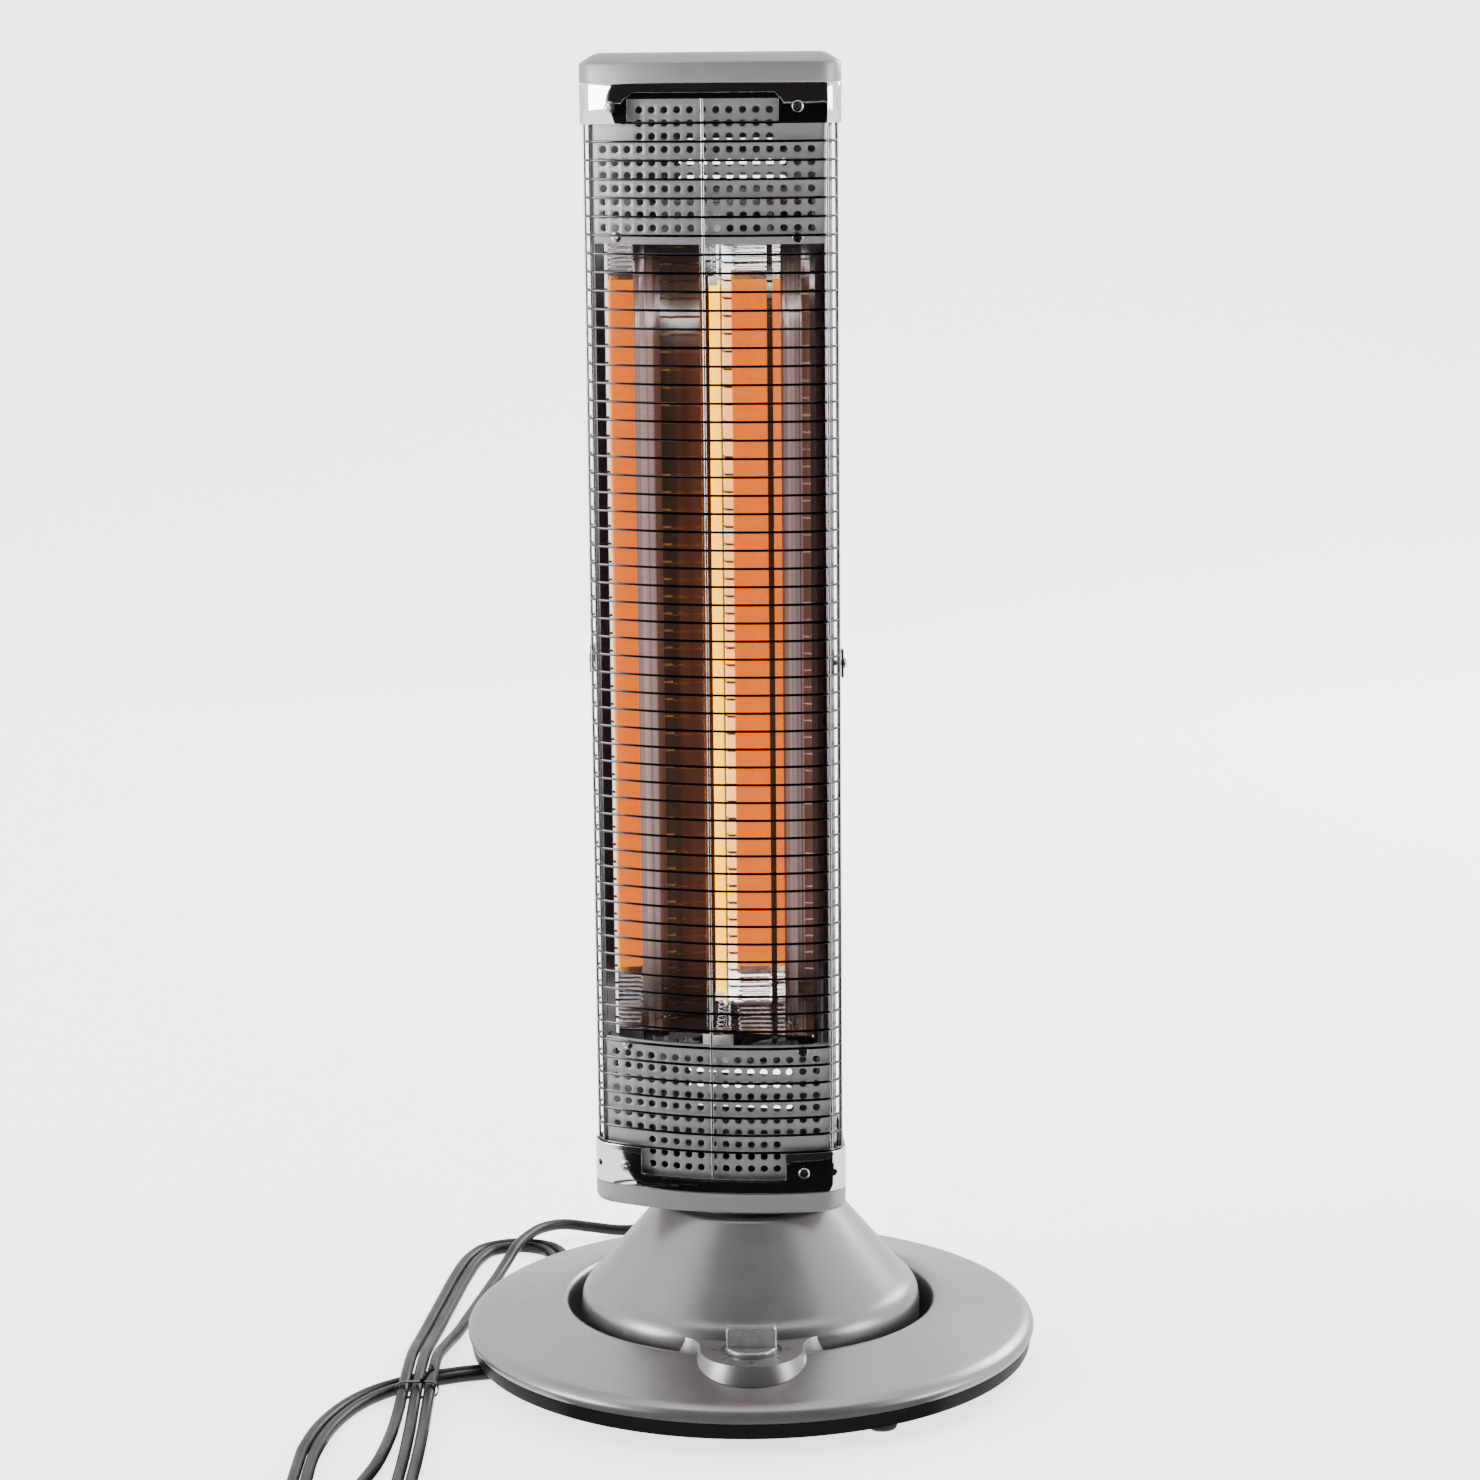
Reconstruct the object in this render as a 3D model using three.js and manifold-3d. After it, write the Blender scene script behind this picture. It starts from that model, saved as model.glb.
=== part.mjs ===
// Free-standing column heater: a round base with a control dial, a pedestal that
// swivels, and a wire-guarded column with one carbon lamp in a mirror trough.
// Millimetres, +Z up, front towards -Y, origin under the middle of the base.
import * as THREE from 'three';
import { mergeVertices } from 'three/addons/utils/BufferGeometryUtils.js';
import Module from 'manifold-3d';

const wasm = await Module();
wasm.setup();

// General fits
const seat = 0.3;
const runGap = 0.35;
const overrun = 5;
const mergeStep = 0.0005;

// Base
const baseRadius = 160;
const footHeight = 7;
const footRadius = 8;
const footCircle = baseRadius - 20.5;
const footTurn = 30;
const footChamfer = 1.2;
const footStemRadius = 3.5;
const trayWall = 2.5;
const trayInset = 1;
const trayToeInset = 3;
const trayHeight = 9.5;
const rimZ = footHeight + trayHeight + seat;
const ringWall = 2;
const ringBulge = 4;
const shoulderZ = rimZ + 9.8;
const shoulderInset = 10;
const crestZ = rimZ + 19.5;
const ringWidth = 53;
const crestRadius = baseRadius - ringWidth;
const crestRound = 5;
const lipWidth = 5.5;
const lipDrop = 5;
const moatRadius = crestRadius - lipWidth;
const moatGap = 6.2;

// Pedestal
const skirtRadius = moatRadius - moatGap;
const edgeZ = 46.5;
const edgeRadius = skirtRadius - 7.3;
const edgeRound = 13;
const neckRound = 3.2;
const coneTopZ = 90;
const coneTopRadius = 51;
const neckZ = 93.3;
const neckRadius = 46;
const coverWall = 2.5;

// Control dial lobe
const lobeY = -crestRadius - 0.5;
const lobeFootRadius = 31;
const lobeTopRadius = 27.3;
const lobeZ = 39.8;
const lobeFootZ = 20;
const lobeBackY = lobeY + 25.5;
const dialRecessRadius = 16.3;
const dialRecessDepth = 1.2;

// Knob and rotary switch
const knobRadius = 13.8;
const knobDisc = 3;
const knobHeight = 13.9;
const gripWidth = 9;
const scoopRadius = 8.5;
const scoopDepth = 1.8;
const scoopSpacing = 6.9;
const stemRadius = 3;
const stemLength = 14;
const switchWidth = 26;
const switchDepth = 22;
const switchHeight = 15;

// Column section, in the column's own frame
const columnTurn = 10.5;
const columnOffset = -12;
const columnWidth = 140.7;
const columnFace = 50;
const columnBack = 45;
const bowRadius = 168;
const cornerRadius = 16;
const backWidth = 116;
const backCornerRadius = 12;

// Column levels
const capFloorZ = 96.5;
const capHeight = 11.7;
const capWall = 3;
const capSide = 7.5;
const capRound = 4;
const lowerFrameZ = capFloorZ + capHeight + seat;
const frameStrip = 8;
const tabHeight = 22.5;
const frameWall = 1;
const frameInset = 0;
const notchWidth = 80;
const guardLowZ = 131.3;
const guardWires = 58;
const guardPitch = 9.8;
const guardHighZ = guardLowZ + (guardWires - 1) * guardPitch;
const upperFrameTopZ = guardHighZ + 20.3;
const topCapZ = upperFrameTopZ + seat;
const lowerFrameScrewZ = lowerFrameZ + 0.5 * tabHeight;
const upperTabHeight = 21;
const upperFrameScrewZ = upperFrameTopZ - 0.58 * upperTabHeight;
const topCapWallHeight = 10.4;
const topChamfer = 6.5;
const topChamferHeight = 4.5;
const topDome = 1.4;

// Guard
const wireRadius = 0.8;
const guardInset = 2.4;
const guardRearV = 12;
const postRadius = 1.1;

// Rear cover and panels
const sheet = 1.2;
const rearInset = 5;
const rearFrontV = 30;
const ventWidth = 60;
const ventHeight = 4;
const ventMargin = 24;
const ventPitch = 10;
const ventCount = 8;
const panelInset = 5.8;
const panelSheet = 1;
const panelHalfWidth = 62;
const panelLip = 9;
const upperPanelLowZ = 628;
const lowerPanelTopZ = 193.8;

// Reflector
const mirrorSheet = 1;
const mirrorEdgeU = 57;
const mirrorFacetU = [0, 6, 14, 22, 32, 40, 48];
const mirrorFacetV = [-3.5, -3.5, -2.9, -1.6, 1.5, 10.3, 25.5];
const mirrorLowZ = 170;
const mirrorHighZ = 652;

// Lamp
const lampV = 27;
const tubeRadius = 6;
const tubeWall = 1;
const tubeLowZ = 186;
const tubeHighZ = 636;
const strandU = 1.6;
const strandWidth = 5.9;
const strandThick = 0.8;
const strandLowZ = 214.7;
const strandHighZ = 606.4;
const coilRadius = 2;
const coilMargin = 2;
const lampCapRadius = 8.5;
const lampCapLength = 20;
const lampCapOverlap = 8;
const holderHeight = 7;
const holderMargin = 2;

// Swivel and swing drive
const swivelRadius = 25.6;
const swivelWall = 4;
const swivelFlange = 34;
const swivelFlangeThick = 2;
const bearingWall = 3.7;
const bearingFlange = 42;
const bearingFlangeThick = 1;
const bearingLowZ = 66;
const washerThick = 1.3;
const washerWidth = 7;
const crankRadius = 36;
const crankSpan = 40;
const armZ = 45;
const armThick = 3;
const linkThick = 2;
const linkGap = 0.4;
const hornThick = 4;
const hornWall = 6;
const leverHalfWidth = 5;
const hubMargin = 2;
const hubMouthAngle = 60;
const pinRadius = 2.4;
const motorRadius = 25;
const motorLowZ = 24.3;
const motorHeight = 17.5;
const motorEarSpan = 62;
const motorEarThick = 2;
const shaftRadius = 3;
const shaftDepth = 9;

// Ballast, tip switch, terminal block
const ballastInner = crestRadius + 3;
const ballastOuter = baseRadius - 12;
const ballastThick = 5.5;
const tipX = skirtRadius - 43.3;
const tipY = -18;
const tipWidth = 22;
const tipDepth = 16;
const tipHeight = 24;
const plungerRadius = 4;
const plungerTravel = 5;
const plungerCollar = 2;
const plungerBevel = 1;
const plungerLift = 0.6;
const terminalX = -tipX;
const terminalY = -12;
const terminalWidth = 20;
const terminalDepth = 36;
const terminalHeight = 14;

// Fixings
const screwHeadRadius = 3.1;
const screwHeadHeight = 1.5;
const screwRadius = 1.6;
const screwLength = 7;
const frameScrewU = 50.2;
const panelScrewU = 49;
const panelScrewInset = 3.6;
const clampWidth = 8;
const clampMargin = 2;
const clampThick = 1.2;
const clampV = 19;

// Mains cord
const cordDiameter = 6.6;
const glandAngle = 100;
const glandZ = footHeight + 5.3;
const glandRadius = 4.2;
const glandTipRadius = 3.6;
const glandInside = 9;
const glandLength = 27;
const turnSpacing = 7.2;
const floorZ = cordDiameter / 2 + 0.05;
const tieThick = 0.6;
const tieWidth = 3;
const tieGap = 0.9;
const plugWidth = 35;
const plugThick = 15;
const plugBody = 33;
const plugSleeve = 30;
const plugOverlap = 1;
const plugSleeveRadius = 4.6;
const plugX = -207;
const plugY = -292;
const plugOutlineShares = [[0.32, 0], [0.8, 0.35], [1, 0.55], [1, 1]];
const pinLength = 19;
const plugPinRadius = 2;
const plugPinSpacing = 18.6;

const deg = Math.PI / 180;

function material(color, metalness, roughness) {
  return new THREE.MeshStandardMaterial({ color, metalness, roughness });
}

const finish = {
  silver: () => material(0xa9a6a8, 0.6, 0.42),
  chrome: () => material(0xd8d9dc, 1, 0.08),
  black: () => material(0x17171a, 0, 0.5),
  steel: () => material(0x9a9ca0, 1, 0.35),
  mirror: () => material(0xe6e6e8, 1, 0.05),
  glass: () => material(0xeef2f4, 0, 0.03),
  glow: () => material(0xff8a1e, 0, 0.6),
  ceramic: () => material(0xe9e4d8, 0, 0.7),
  rubber: () => material(0x101012, 0, 0.8),
  nylon: () => material(0xdedad0, 0, 0.5),
  iron: () => material(0x3a3b3d, 0.7, 0.6),
};

// Mesh helpers

function signedVolume(position, index) {
  const a = new THREE.Vector3();
  const b = new THREE.Vector3();
  const c = new THREE.Vector3();
  let total = 0;
  for (let i = 0; i < index.length; i += 3) {
    a.fromBufferAttribute(position, index[i]);
    b.fromBufferAttribute(position, index[i + 1]);
    c.fromBufferAttribute(position, index[i + 2]);
    total += a.dot(b.cross(c));
  }
  return total;
}

function merged(geometry) {
  const bare = geometry.clone();
  bare.deleteAttribute('normal');
  bare.deleteAttribute('uv');
  const joined = mergeVertices(bare, mergeStep);
  const index = Array.from(joined.index.array);
  const kept = [];
  for (let i = 0; i < index.length; i += 3) {
    const [a, b, c] = index.slice(i, i + 3);
    if (a !== b && b !== c && a !== c) kept.push(a, b, c);
  }
  if (signedVolume(joined.attributes.position, kept) < 0) kept.reverse();
  joined.setIndex(kept);
  return joined;
}

function solid(geometry) {
  const joined = merged(geometry);
  return new wasm.Manifold(new wasm.Mesh({
    numProp: 3,
    vertProperties: new Float32Array(joined.attributes.position.array),
    triVerts: new Uint32Array(joined.index.array),
  }));
}

function geometryOf(body) {
  const mesh = body.getMesh();
  const geometry = new THREE.BufferGeometry();
  geometry.setAttribute('position', new THREE.BufferAttribute(new Float32Array(mesh.vertProperties), 3));
  geometry.setIndex(Array.from(mesh.triVerts));
  return geometry;
}

// A revolved solid from [radius, z] points: on the axis at both ends, or a closed loop.
function lathe(points, segments) {
  const onAxis = points[0][0] === 0;
  const loop = onAxis ? points : [...points, points[0]];
  const profile = loop.map(([r, z]) => new THREE.Vector2(r, z));
  return new THREE.LatheGeometry(profile, segments).rotateX(Math.PI / 2);
}

function shapeOf(points) {
  return new THREE.Shape(points.map(([x, y]) => new THREE.Vector2(x, y)));
}

function extruded(shape, lowZ, highZ, curveSegments = 12) {
  const options = { depth: highZ - lowZ, bevelEnabled: false, curveSegments };
  return new THREE.ExtrudeGeometry(shape, options).translate(0, 0, lowZ);
}

function box(lowX, highX, lowY, highY, lowZ, highZ) {
  const geometry = new THREE.BoxGeometry(highX - lowX, highY - lowY, highZ - lowZ);
  return geometry.translate((lowX + highX) / 2, (lowY + highY) / 2, (lowZ + highZ) / 2);
}

function cylinder(radius, lowZ, highZ, segments = 24, topRadius = radius) {
  const geometry = new THREE.CylinderGeometry(topRadius, radius, highZ - lowZ, segments);
  return geometry.rotateX(Math.PI / 2).translate(0, 0, (lowZ + highZ) / 2);
}

// A skin over rings that all have the same number of points.
function loft(rings, looped = false) {
  const count = rings[0].length;
  const geometry = new THREE.BufferGeometry();
  geometry.setFromPoints(rings.flat());
  const index = [];
  const spans = looped ? rings.length : rings.length - 1;
  for (let j = 0; j < spans; j += 1) {
    const low = j * count;
    const high = ((j + 1) % rings.length) * count;
    for (let i = 0; i < count; i += 1) {
      const next = (i + 1) % count;
      index.push(low + i, low + next, high + next, low + i, high + next, high + i);
    }
  }
  if (!looped) {
    const last = (rings.length - 1) * count;
    for (const [ring, start, facing] of [[rings[0], 0, -1], [rings[rings.length - 1], last, 1]]) {
      const flat = ring.map((p) => new THREE.Vector2(p.x, p.y));
      const turned = THREE.ShapeUtils.isClockWise(flat) ? -facing : facing;
      for (const [a, b, c] of THREE.ShapeUtils.triangulateShape(flat, [])) {
        index.push(start + a, ...(turned > 0 ? [start + b, start + c] : [start + c, start + b]));
      }
    }
  }
  geometry.setIndex(index);
  return geometry;
}

// The same profile moved inwards by the wall, point by point.
function offsetProfile(points, wall) {
  return points.map((point, i) => {
    const before = points[Math.max(i - 1, 0)];
    const after = points[Math.min(i + 1, points.length - 1)];
    const dr = after[0] - before[0];
    const dz = after[1] - before[1];
    const length = Math.hypot(dr, dz);
    return [point[0] - wall * dz / length, point[1] + wall * dr / length];
  });
}

function arcPoints(centreX, centreY, radius, from, to, steps) {
  return Array.from({ length: steps + 1 }, (_, i) => {
    const angle = (from + (to - from) * i / steps) * deg;
    return [centreX + radius * Math.cos(angle), centreY + radius * Math.sin(angle)];
  });
}

// Assembly

const heater = new THREE.Group();
const column = new THREE.Group();
column.rotation.z = -columnTurn * deg;
heater.add(column);

function place(group, name, shape, look, x = 0, y = 0, z = 0, turn = 0) {
  const geometry = shape.getMesh ? geometryOf(shape) : merged(shape);
  const mesh = new THREE.Mesh(geometry, look());
  mesh.name = name;
  mesh.position.set(x, y, z);
  mesh.rotation.z = turn;
  group.add(mesh);
  return mesh;
}

// Column outline. The front is a shallow bow, its corners are round, the sides
// draw in towards a narrower back. Every face moves in by the inset.
const frontCornerU = columnWidth / 2 - cornerRadius;
const frontCornerV = columnFace - bowRadius + Math.sqrt((bowRadius - cornerRadius) ** 2 - frontCornerU ** 2);
const backCornerU = backWidth / 2 - backCornerRadius;
const backCornerV = -columnBack + backCornerRadius;
const bowAngle = Math.asin(frontCornerU / (bowRadius - cornerRadius)) / deg;
const sideRun = Math.hypot(frontCornerU - backCornerU, frontCornerV - backCornerV);
const sideLean = Math.atan2(frontCornerU - backCornerU, frontCornerV - backCornerV) / deg;
const sideAngle = sideLean + Math.asin((cornerRadius - backCornerRadius) / sideRun) / deg;

// The right half of the outline from the middle of the front to the middle of the back.
function halfOutline(inset, bowSteps, cornerSteps, backSteps) {
  const bow = arcPoints(0, columnFace - bowRadius, bowRadius - inset, 90, 90 - bowAngle, bowSteps);
  const corner = arcPoints(
    frontCornerU, frontCornerV, cornerRadius - inset, 90 - bowAngle, -sideAngle, cornerSteps);
  const back = arcPoints(
    backCornerU, backCornerV, backCornerRadius - inset, -sideAngle, -90, backSteps);
  return [...bow, ...corner.slice(1), ...back];
}

function mirrored(half) {
  const left = half.map(([u, v]) => [-u, v]).reverse();
  return [...left.slice(0, -1), ...half];
}

// Closed outline as points of the column's own frame, whose y runs opposite to v.
function outline(inset, bowSteps = 6, cornerSteps = 5, backSteps = 3) {
  return mirrored(halfOutline(inset, bowSteps, cornerSteps, backSteps))
    .map(([u, v]) => [u + columnOffset, -v]);
}

function outlineRing(inset, z) {
  return outline(inset).map(([x, y]) => new THREE.Vector3(x, y, z));
}

// The part of a section path that lies in front of a given depth.
function frontPath(inset, rearV, bowSteps, cornerSteps) {
  const half = halfOutline(inset, bowSteps, cornerSteps, 1).slice(0, bowSteps + cornerSteps + 1);
  const [u, v] = half[half.length - 1];
  const lean = Math.tan(sideAngle * deg);
  const end = [u - (v - rearV) * lean, rearV];
  return mirrored([...half, end]).map(([pu, pv]) => [pu + columnOffset, -pv]);
}

// A wall that follows an open path, from low to high.
function pathWall(outer, inner, lowZ, highZ) {
  return extruded(shapeOf([...outer, ...inner.slice().reverse()]), lowZ, highZ);
}

function frontAt(u, inset) {
  const radius = bowRadius - inset;
  return columnFace - bowRadius + Math.sqrt(radius ** 2 - u ** 2);
}

function polar(radius, angle) {
  return [radius * Math.cos(angle * deg), radius * Math.sin(angle * deg)];
}

// Base pieces

const trayFloorZ = footHeight + trayWall;
const footPlaces = [0, 90, 180, 270].map((turn) => polar(footCircle, turn - 90 + footTurn));
const [glandX, glandY] = polar(1, glandAngle);

function along(geometry, radius) {
  return geometry.rotateX(-Math.PI / 2).rotateZ((glandAngle - 90) * deg)
    .translate(glandX * radius, glandY * radius, glandZ);
}

function makeTray() {
  const outer = baseRadius - trayInset;
  const profile = [
    [0, footHeight],
    [outer - trayToeInset, footHeight],
    [outer - trayToeInset / 3, footHeight + trayWall / 2],
    [outer, footHeight + trayHeight],
    [outer - trayWall, footHeight + trayHeight],
    [outer - trayWall - trayToeInset / 3, trayFloorZ],
    [0, trayFloorZ],
  ];
  let tray = solid(lathe(profile, 60));
  for (const [x, y] of footPlaces) {
    const hole = cylinder(footStemRadius + seat, footHeight - overrun, trayFloorZ + overrun, 12);
    tray = tray.subtract(solid(hole.translate(x, y, 0)));
  }
  const plungerHole = cylinder(plungerRadius + runGap, footHeight - overrun, trayFloorZ + overrun, 16);
  tray = tray.subtract(solid(plungerHole.translate(tipX, tipY, 0)));
  const notch = box(-glandRadius - seat, glandRadius + seat, -glandInside - overrun, overrun,
    glandZ, footHeight + trayHeight + overrun);
  notch.rotateZ((glandAngle - 90) * deg).translate(glandX * outer, glandY * outer, 0);
  tray = tray.subtract(solid(notch));
  const bore = cylinder(glandRadius + seat, -glandInside - overrun, overrun, 16);
  tray = tray.subtract(solid(along(bore, outer)));
  for (const side of [-1, 1]) {
    const post = cylinder(leverHalfWidth, trayFloorZ - trayWall / 2, motorLowZ - seat, 12);
    tray = tray.add(solid(post.translate(side * motorEarSpan / 2, crankSpan, 0)));
  }
  place(heater, 'base_tray', tray, finish.black);
}

const shoulderShares = [[0.15, 0.47], [0.5, 0.83], [1, 1]];
const lipShares = [[0.45, 0.24], [0.76, 0.9]];
const ringProfile = [
  [baseRadius - trayInset, rimZ],
  [baseRadius, rimZ + ringBulge],
  ...shoulderShares.map(([inset, rise]) => [
    baseRadius - inset * shoulderInset, rimZ + ringBulge + rise * (shoulderZ - rimZ - ringBulge)]),
  [crestRadius + crestRound, crestZ - crestRound / 6],
  [crestRadius, crestZ],
  ...lipShares.map(([inset, drop]) => [crestRadius - inset * lipWidth, crestZ - drop * lipDrop]),
  [moatRadius, trayFloorZ + seat],
];

function lobeOutline(radius, backY, steps = 12) {
  const front = arcPoints(0, lobeY, radius, 180, 360, steps);
  return [...front, [radius, backY], [-radius, backY]];
}

function lobeLoft(inset, lowZ, highZ, backY) {
  const slope = (lobeFootRadius - lobeTopRadius) / (lobeZ - shoulderZ);
  const radiusAt = (z) => lobeTopRadius + (lobeZ - z) * slope - inset;
  return loft([lowZ, highZ].map((z) => lobeOutline(radiusAt(z), backY).map(([x, y]) => new THREE.Vector3(x, y, z))));
}

function makeRing() {
  const inner = [
    [baseRadius - trayInset - ringWall, rimZ],
    [baseRadius - ringBulge / 2 - ringWall, rimZ + ringBulge],
    [baseRadius - shoulderInset, shoulderZ - ringWall],
    [crestRadius + ringWall, crestZ - 1.3 * ringWall],
    [moatRadius + ringWall, trayFloorZ + seat],
  ];
  let ring = solid(lathe([...ringProfile, ...inner.reverse()], 60));
  const pocket = extruded(shapeOf(lobeOutline(switchWidth / 2 + 2 * trayWall, lobeBackY)), trayFloorZ, crestZ + overrun);
  ring = ring.subtract(solid(pocket));
  place(heater, 'base_ring', ring, finish.silver);
}

const edgeShares = [[0, 1], [0.1, 0.615], [0.29, 0.285]];

function makePedestalCover() {
  const outer = [
    [skirtRadius, trayFloorZ + seat],
    ...edgeShares.map(([inset, drop]) => [skirtRadius - inset * edgeRound, edgeZ - drop * edgeRound]),
    [edgeRadius, edgeZ],
    [coneTopRadius, coneTopZ],
    [coneTopRadius - neckRound / 1.5, coneTopZ + neckRound / 1.4],
    [neckRadius, neckZ],
  ];
  const inner = [
    [skirtRadius - coverWall, trayFloorZ + seat],
    [skirtRadius - coverWall, edgeZ - edgeRound / 1.6],
    [edgeRadius - coverWall, edgeZ - coverWall],
    [neckRadius - coverWall, neckZ - coverWall],
  ];
  const neckHole = swivelRadius + runGap + bearingWall + seat;
  const shell = [...outer, [neckHole, neckZ], [neckHole, neckZ - coverWall], ...inner.reverse()];
  let cover = solid(lathe(shell, 56));
  const lobe = solid(lobeLoft(0, lobeFootZ, lobeZ, lobeBackY));
  const skirtInside = cylinder(skirtRadius - coverWall, trayFloorZ, lobeZ + overrun, 56);
  cover = cover.add(lobe.subtract(solid(skirtInside)));
  const hollow = lobeLoft(coverWall, lobeFootZ - overrun, lobeZ - coverWall, lobeBackY + coverWall);
  cover = cover.subtract(solid(hollow));
  const ringTop = ringProfile.map(([r, z], i) => offsetProfile(ringProfile, -seat)[i]);
  const ringSolid = lathe([...ringTop.slice(1, -1), [moatRadius - seat, 0], [baseRadius + seat, 0]], 60);
  const ringFront = solid(ringSolid);
  cover = cover.subtract(ringFront);
  const recess = cylinder(dialRecessRadius, lobeZ - dialRecessDepth, lobeZ + overrun, 32);
  const shaftHole = cylinder(stemRadius + runGap, lobeZ - overrun, lobeZ + overrun, 16);
  cover = cover.subtract(solid(recess.translate(0, lobeY, 0)));
  cover = cover.subtract(solid(shaftHole.translate(0, lobeY, 0)));
  place(heater, 'pedestal_cover', cover, finish.silver);
}

function makeBallast() {
  const lowZ = trayFloorZ + seat;
  let plate = solid(lathe([
    [ballastInner, lowZ], [ballastOuter, lowZ], [ballastOuter, lowZ + ballastThick], [ballastInner, lowZ + ballastThick],
  ], 48));
  const slotHalf = glandRadius + 2 * seat;
  const slot = box(-slotHalf, slotHalf, ballastInner - overrun, ballastOuter + overrun, lowZ - overrun, crestZ);
  plate = plate.subtract(solid(slot.rotateZ((glandAngle - 90) * deg)));
  place(heater, 'ballast_ring', plate, finish.iron);
}

function makeFeet() {
  footPlaces.forEach(([x, y], i) => {
    const pad = lathe([
      [0, 0], [footRadius - footChamfer, 0], [footRadius, footChamfer], [footRadius, footHeight - seat],
      [footStemRadius, footHeight - seat], [footStemRadius, trayFloorZ - seat], [0, trayFloorZ - seat],
    ], 20);
    place(heater, `foot_${i + 1}`, pad, finish.rubber, x, y);
  });
}

// Dial

const switchTopZ = lobeZ - coverWall - seat;

function makeSwitch() {
  const body = box(-switchWidth / 2, switchWidth / 2, -switchDepth / 2, switchDepth / 2,
    switchTopZ - switchHeight, switchTopZ);
  const bore = cylinder(stemRadius + runGap, switchTopZ - stemLength + coverWall, switchTopZ + overrun, 16);
  const rotary = solid(body).subtract(solid(bore));
  place(heater, 'rotary_switch', rotary, finish.black, 0, lobeY);
}

function makeKnob() {
  const lowZ = lobeZ - dialRecessDepth + seat;
  let knob = solid(cylinder(knobRadius, lowZ, lowZ + knobDisc, 36));
  let grip = solid(cylinder(knobRadius, lowZ + knobDisc / 2, lowZ + knobHeight, 36));
  const slabHalf = gripWidth / 2;
  grip = grip.intersect(solid(box(-knobRadius, knobRadius, -slabHalf, slabHalf, lowZ, lowZ + knobHeight + overrun)));
  for (const side of [-1, 1]) {
    for (const face of [-1, 1]) {
      const scoop = cylinder(scoopRadius, lowZ + knobDisc, lowZ + knobHeight + overrun, 20);
      scoop.translate(side * scoopSpacing, face * (slabHalf + scoopRadius - scoopDepth), 0);
      grip = grip.subtract(solid(scoop));
    }
  }
  knob = knob.add(grip);
  const stemLowZ = switchTopZ - stemLength + coverWall + seat;
  knob = knob.add(solid(cylinder(stemRadius, stemLowZ, lowZ + knobDisc / 2, 16)));
  place(heater, 'control_knob', knob, finish.chrome, 0, lobeY);
}

// Tip-over switch and terminal block

function makeTipSwitch() {
  const lowZ = trayFloorZ + seat;
  const stop = plungerRadius + plungerCollar;
  let housing = solid(box(-tipWidth / 2, tipWidth / 2, -tipDepth / 2, tipDepth / 2, lowZ, lowZ + tipHeight));
  housing = housing.subtract(solid(cylinder(plungerRadius + runGap, lowZ - overrun, lowZ + tipHeight - coverWall, 16)));
  const chamberTop = lowZ + coverWall + plungerTravel + 2 * coverWall;
  housing = housing.subtract(solid(cylinder(stop + runGap, lowZ + coverWall, chamberTop, 16)));
  place(heater, 'tip_switch', housing, finish.black, tipX, tipY);
  const collarLow = lowZ + coverWall + seat + plungerTravel;
  const plunger = lathe([
    [0, plungerLift], [plungerRadius - plungerBevel, plungerLift], [plungerRadius, plungerLift + plungerBevel],
    [plungerRadius, collarLow], [stop, collarLow], [stop, collarLow + coverWall],
    [plungerRadius, collarLow + coverWall], [plungerRadius, chamberTop + coverWall], [0, chamberTop + coverWall],
  ], 16);
  place(heater, 'tip_plunger', plunger, finish.nylon, tipX, tipY);
}

function makeTerminalBlock() {
  const lowZ = trayFloorZ + seat;
  let block = solid(box(-terminalWidth / 2, terminalWidth / 2, -terminalDepth / 2, terminalDepth / 2,
    lowZ, lowZ + terminalHeight));
  for (const share of [-1 / 3, 0, 1 / 3]) {
    const well = cylinder(terminalDepth / 9, lowZ + terminalHeight / 2, lowZ + terminalHeight + overrun, 12);
    block = block.subtract(solid(well.translate(0, terminalDepth * share, 0)));
  }
  place(heater, 'terminal_block', block, finish.nylon, terminalX, terminalY);
}

// Swing drive

const linkZ = armZ + armThick + linkGap;
const hornZ = linkZ + linkThick + linkGap;

function leverShape(length, halfWidth, hubRadius) {
  const points = [
    ...arcPoints(0, 0, hubRadius, hubMouthAngle, 360 - hubMouthAngle, 10),
    ...arcPoints(length, 0, halfWidth, -90, 90, 8),
  ];
  return shapeOf(points);
}

function makeMotor() {
  let motor = solid(cylinder(motorRadius, motorLowZ, motorLowZ + motorHeight, 32));
  const halfEar = motorEarSpan / 2 + leverHalfWidth;
  motor = motor.add(solid(box(-halfEar, halfEar, -leverHalfWidth, leverHalfWidth,
    motorLowZ, motorLowZ + motorEarThick)));
  const topZ = motorLowZ + motorHeight;
  motor = motor.subtract(solid(cylinder(shaftRadius + runGap, topZ - shaftDepth - seat, topZ + overrun, 16)));
  place(heater, 'swing_motor', motor, finish.steel, 0, crankSpan);
}

function makeSwingArm() {
  let arm = solid(extruded(leverShape(crankRadius, leverHalfWidth, leverHalfWidth + hubMargin), armZ, armZ + armThick));
  arm = arm.add(solid(cylinder(shaftRadius, motorLowZ + motorHeight - shaftDepth, armZ + armThick / 2, 16)));
  const pin = cylinder(pinRadius, armZ + armThick / 2, linkZ + linkThick, 12);
  arm = arm.add(solid(pin.translate(crankRadius, 0, 0)));
  place(heater, 'swing_arm', arm, finish.steel, 0, crankSpan, 0, -columnTurn * deg);
}

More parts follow.
